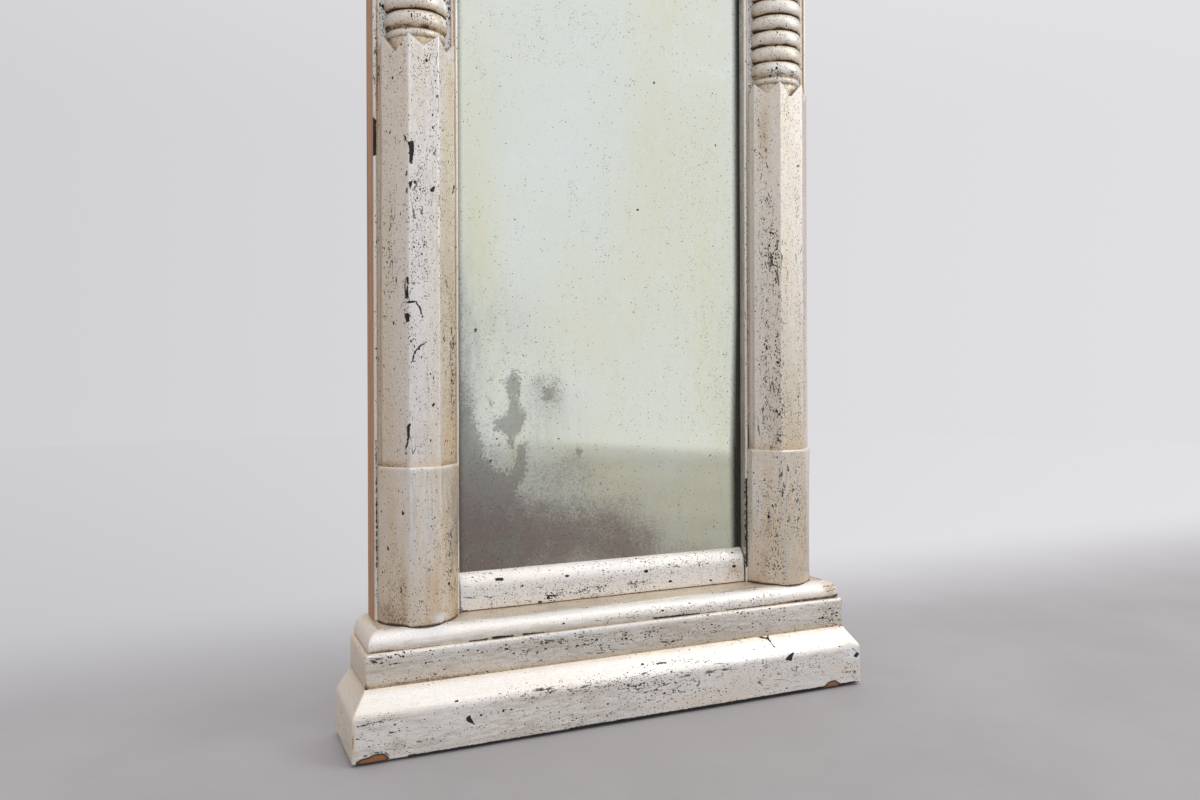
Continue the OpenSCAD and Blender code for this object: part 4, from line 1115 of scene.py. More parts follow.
def build_plate():
    """The plate as a thin closed box, with a fine grid on its face below and a wider one above.

    Its layers say how deep a point lies in the cloud, in the rotten edge and in a spot, in millimetres,
    and how thin, straw-coloured, milky, dull and pitted it is. Beside the right bead the rotten edge is
    also painted reflection of the dark rebate.
    """
    grid = settings().plate.grid
    start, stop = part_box("mirror_plate")
    columns = np.linspace(start.x, stop.x, math.ceil((stop.x - start.x) / grid))
    z = np.concatenate([np.arange(start.z, SEEN_TOP, grid), np.linspace(SEEN_TOP, stop.z, UPPER_ROWS)])
    across = np.concatenate([columns, columns[[-1, 0]]])
    depth = np.concatenate([np.full(len(columns), start.y), [stop.y, stop.y]])
    points = np.stack(np.broadcast_arrays(across, depth, z[:, None]), axis=-1)
    face = np.stack([points[..., 0], points[..., 2]], axis=-1) / MM
    x, height = face[..., 0], face[..., 1]
    cloudy = np.max([reach_of(face, outline) / soft + grow for grow, soft, outline in CLOUD], axis=0)
    thin = sum_of(x, height, THIN)
    spots = [radius - np.hypot(x - a, height - b) for a, b, radius in SPOTS]
    dashes = [reach_of(face, ends) + DASH_HALF for ends in DASHES]
    dark = np.max(spots + dashes, axis=0)
    right = STILE_IN / MM
    below = np.clip((ROT_TOP - height) / ROT_RISE, 0.0, 1.0)
    rot = [x - right + ROT_AND_REFLECTION_RIGHT + ROT_AND_REFLECTION_GAIN * below, ROT_LEFT - (x + right), ROT_SILL - height]
    layers = {"cloud": np.clip(cloudy, -60.0, 20.0), "thin": thin, "dark": np.clip(dark, -FAR, FAR) + FAR,
              "rot": np.clip(np.max(rot, axis=0), -20.0, 20.0),
              "pits": 0.10 + 0.3 * np.clip(thin, 0.0, 1.0) + sum_of(x, height, PITS),
              "straw": sum_of(x, height, STRAW), "veil": sum_of(x, height, VEIL),
              "dull": sum_of(x, height, DULL)}
    piece = shell("mirror_plate_old", points, layers)
    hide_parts("mirror_plate")
    piece.data.materials.append(plate_material())


# Shader nodes

class Wire:
    """An output of a shader node. Sums, differences and products of wires and numbers are Math nodes."""

    def __init__(self, socket):
        self.socket = socket
        self.tree = socket.id_data

    def __getitem__(self, key):
        return Wire(self.socket.node.outputs[key])

    def __add__(self, other):
        return maths("ADD", self, other)

    def __sub__(self, other):
        return maths("SUBTRACT", self, other)

    def __rsub__(self, other):
        return maths("SUBTRACT", other, self)

    def __mul__(self, other):
        return maths("MULTIPLY", self, other)

    def __lt__(self, other):
        return maths("LESS_THAN", self, other)

    __radd__ = __add__
    __rmul__ = __mul__


def feed(sockets, values):
    """Links each wire to the socket of its name, and writes each plain value into its socket."""
    for key, value in values.items():
        if isinstance(value, Wire):
            value.tree.links.new(value.socket, sockets[key])
        else:
            sockets[key].default_value = value


def put(kind, inputs=None, tree=None, **options):
    """Adds a node to the given tree, or else to its inputs' own, and returns its first output."""
    inputs = inputs or {}
    tree = tree or next(value.tree for value in inputs.values() if isinstance(value, Wire))
    node = tree.nodes.new(kind)
    for key, value in options.items():
        setattr(node, key, value)
    feed(node.inputs, inputs)
    return Wire(node.outputs[0])


def maths(operation, a, b=0.0, clamp=False):
    """One step of arithmetic."""
    return put("ShaderNodeMath", {0: a, 1: b}, operation=operation, use_clamp=clamp)


def most(first, *others):
    """The greatest of several values."""
    for other in others:
        first = maths("MAXIMUM", first, other)
    return first


def blend(factor, a, b, mode="MIX"):
    """Mixes two colours."""
    return put("ShaderNodeMix", {0: factor, 6: a, 7: b}, data_type="RGBA", blend_type=mode)[2]


def span(value, start, stop, to_start=0.0, to_stop=1.0):
    """Maps a range of values smoothly onto another and holds it inside."""
    inputs = {"Value": value, "From Min": start, "From Max": stop, "To Min": to_start, "To Max": to_stop}
    return put("ShaderNodeMapRange", inputs, interpolation_type="SMOOTHSTEP")


def cloud(vector, scale, detail=2.0, roughness=0.5):
    """Noise at a scale in cycles per metre."""
    inputs = {"Vector": vector, "Scale": scale, "Detail": detail, "Roughness": roughness}
    return put("ShaderNodeTexNoise", inputs)["Fac"]


def layer(tree, name):
    """A value painted on the piece's points."""
    return put("ShaderNodeAttribute", tree=tree, attribute_name=name)["Fac"]


def mark(tree, name):
    """How many millimetres inside a mark the point lies, from the piece's layer of that name."""
    return layer(tree, name) - FAR


def stretched(vector, scale):
    """The vector scaled along each axis, so that a pattern runs along the smallest."""
    return put("ShaderNodeMapping", {"Vector": vector, "Scale": scale}, vector_type="POINT")


def apart(vector):
    """The three coordinates of a vector, by the names X, Y and Z."""
    return put("ShaderNodeSeparateXYZ", {0: vector})


def group(name, inputs, outputs):
    """An empty shader group: its tree, its inputs as wires, and the sockets of its outputs.

    An input's default gives its kind: None for a vector, a number for a value, a tuple for a colour.
    """
    kinds = {type(None): "NodeSocketVector", float: "NodeSocketFloat", tuple: "NodeSocketColor"}
    tree = bpy.data.node_groups.new(name, "ShaderNodeTree")
    for label, value in inputs.items():
        socket = tree.interface.new_socket(label, in_out="INPUT", socket_type=kinds[type(value)])
        if value is not None:
            socket.default_value = value
    for label in outputs:
        kind = "NodeSocketColor" if label == "Color" else "NodeSocketFloat"
        tree.interface.new_socket(label, in_out="OUTPUT", socket_type=kind)
    given = Wire(tree.nodes.new("NodeGroupInput").outputs[0])
    return tree, given, tree.nodes.new("NodeGroupOutput").inputs


# Specks of three sizes: cells per metre, least and greatest radius, and the share of cells with a speck
SPECKS = ((640.0, 0.30 * MM, 0.60 * MM, 1.00),
          (330.0, 0.45 * MM, 1.05 * MM, 0.32),
          (150.0, 1.0 * MM, 1.9 * MM, 0.07))
SPECK_CORE = 0.78


def pinhole_group():
    """Dark specks of three sizes that crowd together in clusters.

    Each cell of a Voronoi pattern holds at most one speck, a warped ball around the cell's point, and
    holds it where the cell's random number is below the amount. The balls swell by up to 0.8 of their
    radius where the amount is high. Field is where the clusters lie, and Warp how far the balls are bent.
    """
    if "Pinholes" in bpy.data.node_groups:
        return bpy.data.node_groups["Pinholes"]
    tree, given, out = group(
        "Pinholes", {"Vector": None, "Field": None, "Amount": 0.5, "Warp": 0.9 * MM}, ["Mask"])
    place = given["Vector"]
    cluster = span(cloud(given["Field"], 110.0, 3.0, 0.6), 0.48, 0.66)
    patch = span(cloud(place, 4.5), 0.38, 0.62)
    ragged = span(cloud(place, 120.0, 3.0, 0.7), 0.38, 0.60, 0.15, 1.2)
    amount = (cluster * patch * 0.9 + given["Amount"]) * ragged
    noise = put("ShaderNodeTexNoise", {"Vector": place, "Scale": 700.0, "Detail": 1.0})["Color"]
    centred = put("ShaderNodeVectorMath", {0: noise, 1: (0.5, 0.5, 0.5)}, operation="SUBTRACT")
    offset = put("ShaderNodeVectorMath", {0: centred, "Scale": given["Warp"]}, operation="SCALE")
    warped = put("ShaderNodeVectorMath", {0: place, 1: offset}, operation="ADD")
    swollen = span(amount, 0.8, 3.4, 1.0, 1.8)
    masks = []
    for scale, small, large, share in SPECKS:
        cell = put("ShaderNodeTexVoronoi", {"Vector": warped, "Scale": scale})
        random = put("ShaderNodeSeparateColor", {0: cell["Color"]})
        radius = (random["Green"] * ((large - small) * scale) + small * scale) * swollen
        body = span(cell["Distance"], radius, radius * SPECK_CORE)
        masks.append(body * (random["Red"] < amount * share))
    feed(out, {"Mask": most(*masks)})
    return tree


def scratch_group():
    """Thin broken lines: the places where a long drawn-out noise passes through its middle value."""
    if "Scratches" in bpy.data.node_groups:
        return bpy.data.node_groups["Scratches"]
    tree, given, out = group("Scratches", {"Vector": None, "Along": None, "Amount": 0.5}, ["Mask"])
    field = cloud(stretched(given["Along"], (0.45, 0.45, 0.45)), 300.0, 1.0)
    line = span(maths("ABSOLUTE", field - 0.5), 0.022, 0.008)
    edge = 0.72 - given["Amount"] * 0.2
    patch = span(cloud(given["Vector"], 26.0), edge, edge + 0.05)
    broken = span(cloud(given["Vector"], 170.0, 1.0), 0.46, 0.56)
    feed(out, {"Mask": line * patch * broken})
    return tree


def leaf_group():
    """Aged silver leaf: colour, how metallic it is, roughness and height.

    Rubbed places are brighter, and the same layer paints highlights and reflections. Hollows are toned,
    and the same toning paints shade, which passes into the crevice colour where it is deepest. Marks
    show the dark ground, the white ground or the pine below.
    """
    if "Silver leaf" in bpy.data.node_groups:
        return bpy.data.node_groups["Silver leaf"]
    finish = settings().silver
    tree, given, out = group(
        "Silver leaf",
        {"Vector": None, "Along": None, "Speck": None, "Leaf": tuple(finish.leaf),
         "Bright leaf": tuple(finish.bright), "Toning and shade": tuple(finish.toning_and_shade), "Bole": tuple(finish.bole),
         "Crevice": tuple(finish.crevice), "Gesso": tuple(finish.gesso), "Wood": tuple(finish.wood),
         "Pinholes": 0.18, "Chalk": 0.0},
        ["Color", "Metallic", "Roughness", "Height"])
    hazed, soil, late_wood = (0.70, 0.71, 0.73, 1.0), (0.215, 0.135, 0.088, 1.0), (0.33, 0.145, 0.055, 1.0)
    place, along = given["Vector"], given["Along"]
    tone_and_shade, rub_and_highlight, pits = layer(tree, "tone_and_shade"), layer(tree, "rub_and_highlight"), layer(tree, "pits")
    broad = cloud(along, 24.0, 3.0, 0.6)
    streak = cloud(along, 380.0, 3.0, 0.65)
    fine = cloud(place, 800.0, 2.0, 0.6)
    grit = cloud(given["Speck"], 900.0, 3.0, 0.7)
    ragged = (cloud(place, 330.0, 4.0, 0.7) - 0.5) * 3.2

    # Rubbed places are brighter; the same layer paints highlights and reflections.
    rubbed_and_highlit = rub_and_highlight * 0.8 + span(broad + streak * 0.8, 0.68, 1.12, -0.1, 0.75)
    rubbed_and_highlit = maths("MINIMUM", maths("MAXIMUM", rubbed_and_highlit, 0.0), 1.0)
    colour = blend(rubbed_and_highlit, given["Leaf"], given["Bright leaf"])
    veil = span(cloud(along, 10.0, 3.0, 0.6), 0.50, 0.70, 0.0, 0.45)
    colour = blend(veil, colour, hazed)
    stain = span(cloud(along, 13.0, 4.0, 0.65), 0.50, 0.74, 0.0, 0.42)
    # The toning colour paints varnish in the hollows and, where the layer carries it, painted shade.
    toned_and_shaded = maths("MINIMUM", tone_and_shade * span(fine, 0.3, 0.6, 0.55, 1.0) + stain, 0.88)
    colour = blend(toned_and_shaded, colour, given["Toning and shade"])
    colour = blend(1.0, colour, span(grit, 0.30, 0.62, 0.84, 1.05), "MULTIPLY")

    white = span(mark(tree, "white") + ragged * 2.5, -0.5, 1.5)
    worn = span(rub_and_highlight + ragged * 0.6, 1.0, 1.5)
    bloom = span(mark(tree, "white"), -4.5, 1.0) * 0.55
    white = most(white, worn, bloom, given["Chalk"]) * 0.85
    colour = blend(white, colour, given["Gesso"])
    # Where the toning layer passes 1.05 the crevice colour takes over: dirt in the quirks, painted shade in
    # the rings' grooves.
    grime_and_shade = span(tone_and_shade + ragged * 0.5, 1.05, 1.30)
    soiled = span(tone_and_shade + ragged * 0.22 + (grit - 0.5) * 1.3, 0.74, 1.10, 0.0, 0.8)
    colour = blend(grime_and_shade, blend(soiled, colour, soil), given["Crevice"])

    scratch = put("ShaderNodeGroup", {"Vector": given["Speck"], "Along": along, "Amount": pits + 0.3},
                  node_tree=scratch_group())
    hole = put("ShaderNodeGroup", {"Vector": given["Speck"], "Field": along,
                                   "Amount": given["Pinholes"] + pits}, node_tree=pinhole_group())
    dark = most(scratch * 0.8, hole, span(mark(tree, "dark") + ragged, -0.15, 0.25))
    colour = blend(dark, colour, given["Bole"])
    timber = mark(tree, "timber") + ragged * 0.6
    bared = span(timber, -0.1, 0.2)
    grain = blend(span(timber, 3.0, 0.8), blend(streak, given["Wood"], late_wood), given["Crevice"])
    colour = blend(bared, colour, grain)

    bare = most(dark, bared, grime_and_shade, white * 0.8)
    rough = span(streak, 0.3, 0.7, 0.30, 0.44) + rubbed_and_highlit * 0.12 + toned_and_shaded * 0.14
    feed(out, {"Color": colour,
               "Metallic": (0.88 - toned_and_shaded * 0.45 - rubbed_and_highlit * 0.30) * (1.0 - bare),
               "Roughness": maths("ADD", rough, bare * 0.35, clamp=True),
               "Height": streak * 0.45 + fine * 0.2 - dark * 0.8 - bared * 1.6})
    return tree


def new_material(name):
    """A material, the sockets of its Principled shader, and the object's own coordinates."""
    material = bpy.data.materials.new(name)
    material.use_nodes = True
    tree = material.node_tree
    return material, tree.nodes["Principled BSDF"].inputs, put("ShaderNodeTexCoord", tree=tree)["Object"]


def raised(height, strength, distance):
    """The normal of a surface that a height lifts by up to a distance."""
    return put("ShaderNodeBump", {"Strength": strength, "Distance": distance, "Height": height})


# The axis that each leaf material's streaks run along, and how far they are drawn out
GRAIN = {"silvered_across": 0, "silvered_return": 1, "silvered_upright": 2, "silvered_round": 2}
STREAKS = {"silvered_across": 0.13, "silvered_return": 0.13, "silvered_upright": 0.13, "silvered_round": 1.3}
SPECK_STREAK = 0.58


def place_leaf(place, name, **values):
    """Adds the silver leaf's group, with its streaks and specks drawn out along the piece."""
    inputs = {"Vector": place, **values}
    for socket, share in (("Along", STREAKS[name]), ("Speck", SPECK_STREAK)):
        scale = [1.0, 1.0, 1.0]
        scale[GRAIN[name]] = share
        inputs[socket] = stretched(place, scale)
    return put("ShaderNodeGroup", inputs, node_tree=leaf_group())


def leaf_material(name):
    """Silver leaf whose streaks run along the piece that it covers."""
    if name in bpy.data.materials:
        return bpy.data.materials[name]
    material, surface, place = new_material(name)
    finish = place_leaf(place, name)
    feed(surface, {"Base Color": finish["Color"], "Metallic": finish["Metallic"],
                   "Roughness": finish["Roughness"], "Normal": raised(finish["Height"], 0.5, 0.6 * MM)})
    return material


def grain_group():
    """Sawn or planed pine: long bands of growth with darker late wood, fine pores and stains."""
    if "Pine grain" in bpy.data.node_groups:
        return bpy.data.node_groups["Pine grain"]
    tree, given, out = group(
        "Pine grain", {"Vector": None, "Colour": (0.5, 0.3, 0.15, 1.0), "Bands": 60.0, "Dirt": 0.3},
        ["Color", "Roughness", "Height"])
    late_wood, pore, soil = (0.17, 0.075, 0.03, 1.0), (0.10, 0.05, 0.025, 1.0), (0.06, 0.045, 0.035, 1.0)
    along = given["Vector"]
    field = cloud(along, 9.0) + cloud(along, 5.0) * 0.6
    late = span(maths("FRACT", field * given["Bands"]), 0.45, 0.95)
    pores = span(cloud(along, 420.0, 3.0, 0.7), 0.5, 0.72)
    stains = span(cloud(along, 11.0, 4.0, 0.65), 0.45, 0.75)
    colour = blend(late * 0.45, given["Colour"], late_wood)
    colour = blend(stains * given["Dirt"], blend(pores * 0.35, colour, pore), soil)
    feed(out, {"Color": colour, "Roughness": span(pores, 0.0, 1.0, 0.55, 0.85),
               "Height": late * 0.5 - pores * 0.6})
    return tree


def place_pine(place, colour, grain, bands, dirt):
    """Adds the pine's group, with its grain along the axis that has the smallest scale."""
    inputs = {"Vector": stretched(place, grain), "Colour": colour, "Bands": bands, "Dirt": dirt}
    return put("ShaderNodeGroup", inputs, node_tree=grain_group())


def pine_material(name, colour, grain, bands, dirt):
    """Bare or stained pine with its grain along the piece."""
    if name in bpy.data.materials:
        return bpy.data.materials[name]
    material, surface, place = new_material(name)
    wood = place_pine(place, colour, grain, bands, dirt)
    feed(surface, {"Base Color": wood["Color"], "Roughness": wood["Roughness"],
                   "Normal": raised(wood["Height"], 0.4, 0.5 * MM)})
    return material


def stile_material():
    """Stained pine outside and behind, and silver leaf on the front and on the narrow sight edge.

    Beyond the crown's points the leaf on the front is chalky and pitted.
    """
    if "stained_stile" in bpy.data.materials:
        return bpy.data.materials["stained_stile"]
    material, surface, place = new_material("stained_stile")
    skin, dulled = 0.3 * MM, (0.42, 0.40, 0.31, 1.0)
    wood = place_pine(place, tuple(settings().wood.stain), (1.0, 1.0, 0.06), 9.0, 0.25)
    parts = apart(place)
    front = parts["Y"] < BACK - STILE_FRONT + skin
    sight = maths("ABSOLUTE", parts["X"]) < STILE_IN + skin
    gilded = most(front, sight)
    beyond = span(parts["Z"], CROWN_Z - 8 * MM, CROWN_Z + 4 * MM)
    chalk = beyond * span(cloud(place, 190.0, 4.0, 0.75), 0.36, 0.50, 0.1, 1.0)
    finish = place_leaf(place, "silvered_upright", Chalk=chalk, Pinholes=beyond * 1.4 + 0.2)
    dull = span(cloud(stretched(place, (1.0, 1.0, 0.3)), 60.0, 4.0, 0.7), 0.4, 0.7, 0.2, 0.8)
    leafed = blend(dull * sight, finish["Color"], dulled)
    feed(surface, {"Base Color": blend(gilded, wood["Color"], leafed),
                   "Metallic": finish["Metallic"] * gilded * (1.0 - sight * 0.5),
                   "Roughness": finish["Roughness"] * gilded + wood["Roughness"] * (1.0 - gilded),
                   "Normal": raised(wood["Height"], 0.4, 0.5 * MM)})
    return material


def iron_material():
    """Darkened iron with rust in soft patches."""
    if "dark_iron" in bpy.data.materials:
        return bpy.data.materials["dark_iron"]
    material, surface, place = new_material("dark_iron")
    clean, rusty = (0.055, 0.05, 0.047, 1.0), (0.17, 0.07, 0.03, 1.0)
    rust = span(cloud(place, 180.0, 4.0, 0.7), 0.48, 0.66)
    feed(surface, {"Base Color": blend(rust, clean, rusty),
                   "Metallic": span(rust, 0.0, 1.0, 0.9, 0.1),
                   "Roughness": span(rust, 0.0, 1.0, 0.42, 0.8),
                   "Normal": raised(cloud(place, 900.0, 3.0, 0.7), 0.35, 0.3 * MM)})
    return material


def plate_material():
    """Old mirror plate: pale green silvering with straw zones and specks, and a grey-brown cloud.

    Where the silvering has gone the plate isn't metallic any more, and shows its dull backing. A black
    band along its edges is rot, and beside the right bead also painted reflection of the dark rebate.
    """
    if "old_plate" in bpy.data.materials:
        return bpy.data.materials["old_plate"]
    finish = settings().plate
    material, surface, place = new_material("old_plate")
    tree = place.tree
    milky, grey, umber = (0.755, 0.815, 0.775, 1.0), (0.152, 0.150, 0.134, 1.0), (0.225, 0.19, 0.155, 1.0)
    dull_low, dull_high = (0.42, 0.40, 0.33, 1.0), (0.47, 0.50, 0.455, 1.0)
    speck, rot_and_reflection_black = (0.035, 0.035, 0.03, 1.0), (0.020, 0.020, 0.013, 1.0)
    parts = apart(place)
    upright = stretched(place, (1.0, 1.0, 0.22))
    broad = cloud(upright, 14.0, 4.0, 0.6)
    fine = cloud(upright, 120.0, 3.0, 0.65)
    far = cloud(place, 42.0, 4.0, 0.62)
    near = cloud(place, 260.0, 3.0, 0.7)
    sway, fray = far - 0.5, near - 0.5

    straw = layer(tree, "straw") + span(broad, 0.46, 0.72, -0.1, 0.6)
    straw = maths("MULTIPLY", straw, span(fine, 0.3, 0.7, 0.65, 1.1), clamp=True)
    veil = layer(tree, "veil") + span(cloud(place, 30.0, 4.0, 0.65), 0.5, 0.78, 0.0, 0.4)
    colour = blend(straw, tuple(finish.tint), tuple(finish.straw))
    colour = blend(maths("MINIMUM", veil, 0.8), colour, milky)

    grain = put("ShaderNodeTexVoronoi", {"Vector": place, "Scale": 620.0})
    chance = put("ShaderNodeSeparateColor", {0: grain["Color"]})["Red"]
    thin = layer(tree, "thin")
    eaten = layer(tree, "cloud") + sway * 20.0 + fray * 20.0
    wash = thin + fray * 0.7 + sway * 0.8
    solid = span(eaten, -2.0, 2.5) * span(parts["Z"], 0.23, 0.37, 0.92, 0.62)
    solid = solid * span(near, 0.3, 0.65, 0.86, 1.0)
    dot = span(wash + (chance - 0.5) * 0.7, 0.0, 0.85, 0.02, 1.05)
    eroded = span(grain["Distance"], dot, dot * 0.6, 0.0, 0.38) + span(wash, 0.12, 0.95, 0.0, 0.56)
    gone = most(solid, eroded * span(thin, 0.06, 0.28))
    haze = span(thin + sway * 0.25, 0.0, 0.8, 0.0, 0.6)
    haze = maths("MINIMUM", haze + layer(tree, "dull") * span(fine, 0.3, 0.7, 0.6, 1.2), 0.85)

    height = span(parts["Z"], 0.19, 0.36)
    backing = blend(height * span(far, 0.35, 0.6, 0.6, 1.0), tuple(finish.bloom), tuple(finish.chill))
    backing = blend(span(cloud(place, 24.0, 3.0, 0.6), 0.50, 0.66, 0.0, 0.75), backing, grey)
    aside = span(parts["X"], -0.13, -0.03, 0.0, 0.6)
    backing = blend(aside * span(near, 0.3, 0.7, 0.4, 1.0), backing, umber)

    hole = put("ShaderNodeGroup", {"Vector": stretched(place, (1.3, 1.3, 1.3)), "Warp": 0.3 * MM,
                                   "Field": upright, "Amount": layer(tree, "pits")},
               node_tree=pinhole_group())
    black = most(hole * 0.8, span(mark(tree, "dark") + fray * 2.5, -0.3, 0.3))
    # The rotten edge's black is rot, and beside the right bead also painted reflection of the dark rebate.
    rot_and_reflection = span(layer(tree, "rot") + fray * 4.0, -9.0, 2.5)
    colour = blend(haze, colour, blend(height, dull_low, dull_high))
    colour = blend(black, blend(gone, colour, backing), speck)
    feed(surface, {"Base Color": blend(rot_and_reflection, colour, rot_and_reflection_black),
                   "Metallic": (1.0 - most(gone, black, rot_and_reflection)) * (1.0 - haze * 0.3),
                   "Roughness": span(veil + haze, 0.0, 1.0, 0.035, 0.14)})
    return material


# The pieces that keep the joiner's solids

def dress(nodes, material):
    """Gives nodes of the joiner's model one material."""
    for name in nodes:
        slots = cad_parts[name].data.materials
        slots.clear()
        slots.append(material)


# Stage

AIM = Vector((0.0, 0.0, 0.6))
# Each lamp's place, width, height and power
LAMPS = {"key": ((2.9, -2.0, 2.0), 2.4, 2.4, 23.5),
         "top": ((0.5, -1.5, 3.4), 3.4, 3.4, 10.5),
         "window": ((2.6, -2.0, 3.4), 0.35, 2.2, 10.0)}


def room_glow(parts, front):
    """Strength of the pale room in a direction: 0.67 + 0.12 x, and up to front more towards the front."""
    return parts["X"] * 0.12 + 0.67 + span(parts["Y"], 0.1, -0.85, 0.0, front)


def build_floor(stage):
    """A round floor that passes into the pale room behind the object and far in front of it."""
    radius, rings, around = 4.6, 28, 96
    r = radius * np.linspace(0.0, 1.0, rings + 1)[1:, None]
    angle = np.linspace(0.0, 2.0 * math.pi, around, endpoint=False)
    flat = np.stack([r * np.cos(angle), r * np.sin(angle), np.zeros((rings, around))], axis=-1)
    verts = np.concatenate([[[0.0, 0.0, 0.0]], flat.reshape(-1, 3)])
    index = 1 + np.arange(rings * around).reshape(rings, around)
    turned = np.roll(index, -1, axis=1)
    quads = np.stack([index[:-1], index[1:], turned[1:], turned[:-1]], axis=-1).reshape(-1, 4)
    middle = np.stack([np.zeros(around, int), index[0], turned[0]], axis=-1)
    mesh = bpy.data.meshes.new("floor")
    mesh.from_pydata(verts.tolist(), [], quads.tolist() + middle.tolist())
    floor = bpy.data.objects.new("floor", mesh)
    bpy.context.scene.collection.objects.link(floor)
    mesh.materials.append(floor_material(stage))


def floor_material(stage):
    """Mottled floor, whose seen face turns into the room's glow far from the object."""
    material, surface, place = new_material("floor")
    nodes = place.tree.nodes
    parts = apart(place)
    mottle = span(cloud(place, 3.0, 6.0, 0.62), 0.32, 0.70)
    tint = tuple(stage.floor)
    light = tuple(min(1.0, c * 1.12) for c in tint[:3]) + (1.0,)
    nearer = span(parts["Y"], -0.7, -1.4, 1.0, 1.14)
    feed(surface, {"Base Color": blend(1.0, blend(mottle, tint, light), nearer, "MULTIPLY"),
                   "Roughness": 0.6, "Specular IOR Level": 0.25})
    behind = span(parts["Y"], 0.06, 0.75)
    ahead = put("ShaderNodeVectorMath", {0: place, 1: (0.813, -0.583, 0.0)}, operation="DOT_PRODUCT")
    before = span(ahead["Value"], 2.7, 3.3)
    beyond = span(put("ShaderNodeVectorMath", {0: place}, operation="LENGTH")["Value"], 2.6, 4.4)
    path = put("ShaderNodeLightPath", tree=place.tree)
    seen = most(path["Is Camera Ray"], path["Is Glossy Ray"], path["Is Transmission Ray"])
    direction = put("ShaderNodeVectorMath", {0: place}, operation="NORMALIZE")
    pale = put("ShaderNodeEmission", {"Color": tuple(stage.backdrop),
                                      "Strength": room_glow(apart(direction), 0.20)})
    mixed = put("ShaderNodeMixShader", {0: most(behind, before, beyond) * seen,
                                        1: Wire(nodes["Principled BSDF"].outputs[0]), 2: pale})
    feed(nodes["Material Output"].inputs, {"Surface": mixed})
    return material


def build_world(stage):
    """A soft pale room that is brightest overhead and in front, and darkest at the object's left.

    Its strength is 0.67 + 0.12 x, or 0.67 + 0.07 x in front, plus 0.215 where the direction points to the
    front, 0.37 where it points up and 0.05 at the far left, each along a smooth curve.
    """
    world = bpy.data.worlds.new("studio")
    world.use_nodes = True
    bpy.context.scene.world = world
    tree = world.node_tree
    tree.nodes.clear()
    parts = apart(put("ShaderNodeTexCoord", tree=tree)["Generated"])
    shade = room_glow(parts, 0.215) + parts["X"] * span(parts["Y"], 0.0, -0.5, 0.0, -0.05)
    shade = shade + span(parts["Z"], 0.2, 0.95, 0.0, 0.37) + span(parts["X"], -0.3, -0.95, 0.0, 0.05)
    sky = put("ShaderNodeBackground", {"Color": tuple(stage.backdrop), "Strength": shade})
    feed(tree.nodes.new("ShaderNodeOutputWorld").inputs, {"Surface": sky})


def build_lamps():
    """Soft lamps: the key from the front right, a top lamp, and a narrow upright one high on the right."""
    for name, (place, width, height, power) in LAMPS.items():
        data = bpy.data.lights.new(name, "AREA")
        data.shape = "ELLIPSE"
        data.size = width
        data.size_y = height
        data.energy = power
        lamp = bpy.data.objects.new(name, data)
        lamp.location = place
        lamp.rotation_euler = (AIM - lamp.location).to_track_quat("-Z", "Y").to_euler()
        bpy.context.scene.collection.objects.link(lamp)


def build_camera(stage):
    """The camera at the photograph's place, turned to the right and leaning a little."""
    data = bpy.data.cameras.new("camera")
    data.lens = stage.lens
    data.sensor_width = 36.0
    data.shift_y = stage.rise
    data.clip_end = 60.0
    camera = bpy.data.objects.new("camera", data)
    camera.location = stage.place
    camera.rotation_euler = (math.pi / 2, stage.roll, -stage.turn)
    bpy.context.scene.collection.objects.link(camera)
    bpy.context.scene.camera = camera
    bpy.context.scene.view_settings.view_transform = "Standard"


# Operators

class PIERMIRROR_OT_stage(bpy.types.Operator):
    """Sets the floor, the lamps, the backdrop and the camera"""
    bl_idname = "pier_mirror.stage"
    bl_label = "Stage"

    def execute(self, context):
        stage = settings().stage
        build_floor(stage)
        build_world(stage)
        build_lamps()
        build_camera(stage)
        return {"FINISHED"}


class PIERMIRROR_OT_plinth(bpy.types.Operator):
    """Builds the stepped plinth and its returns"""
    bl_idname = "pier_mirror.plinth"
    bl_label = "Plinth"

    def execute(self, context):
        build_storey(("plinth_step", "plinth_board", "plinth_cap"), False, 11)
        return {"FINISHED"}


class PIERMIRROR_OT_entablature(bpy.types.Operator):
    """Builds the entablature, which is the plinth turned over"""
    bl_idname = "pier_mirror.entablature"
    bl_label = "Entablature"

    def execute(self, context):
        build_storey(("cornice", "frieze_board", "architrave"), True, 211)
        return {"FINISHED"}


class PIERMIRROR_OT_columns(bpy.types.Operator):
    """Builds the feet, shafts, turnings and capitals of both columns"""
    bl_idname = "pier_mirror.columns"
    bl_label = "Columns"

    def execute(self, context):
        for side, hand in ((-1, "left"), (1, "right")):
            build_foot(f"foot_{hand}", side, False, 31 + side)
            build_shaft(f"lower_shaft_{hand}", side, False, 41 + side)
            build_turning(f"ring_turning_{hand}", side, 51 + side)
            build_shaft(f"upper_shaft_{hand}", side, True, 61 + side)
            build_foot(f"capital_{hand}", side, True, 71 + side)
        return {"FINISHED"}


class PIERMIRROR_OT_beads(bpy.types.Operator):
    """Builds the beads beside the columns"""
    bl_idname = "pier_mirror.beads"
    bl_label = "Beads"

    def execute(self, context):
        for side, hand in ((-1, "left"), (1, "right")):
            build_bead(f"outer_bead_{hand}", True, side, 81 + side)
            build_bead(f"inner_bead_{hand}", False, side, 91 + side)
        return {"FINISHED"}


class PIERMIRROR_OT_sight(bpy.types.Operator):
    """Builds the mouldings below and above the glass"""
    bl_idname = "pier_mirror.sight"
    bl_label = "Sight mouldings"

    def execute(self, context):
        build_sill("sill_moulding", False, 101)
        build_sill("head_moulding", True, 111)
        return {"FINISHED"}


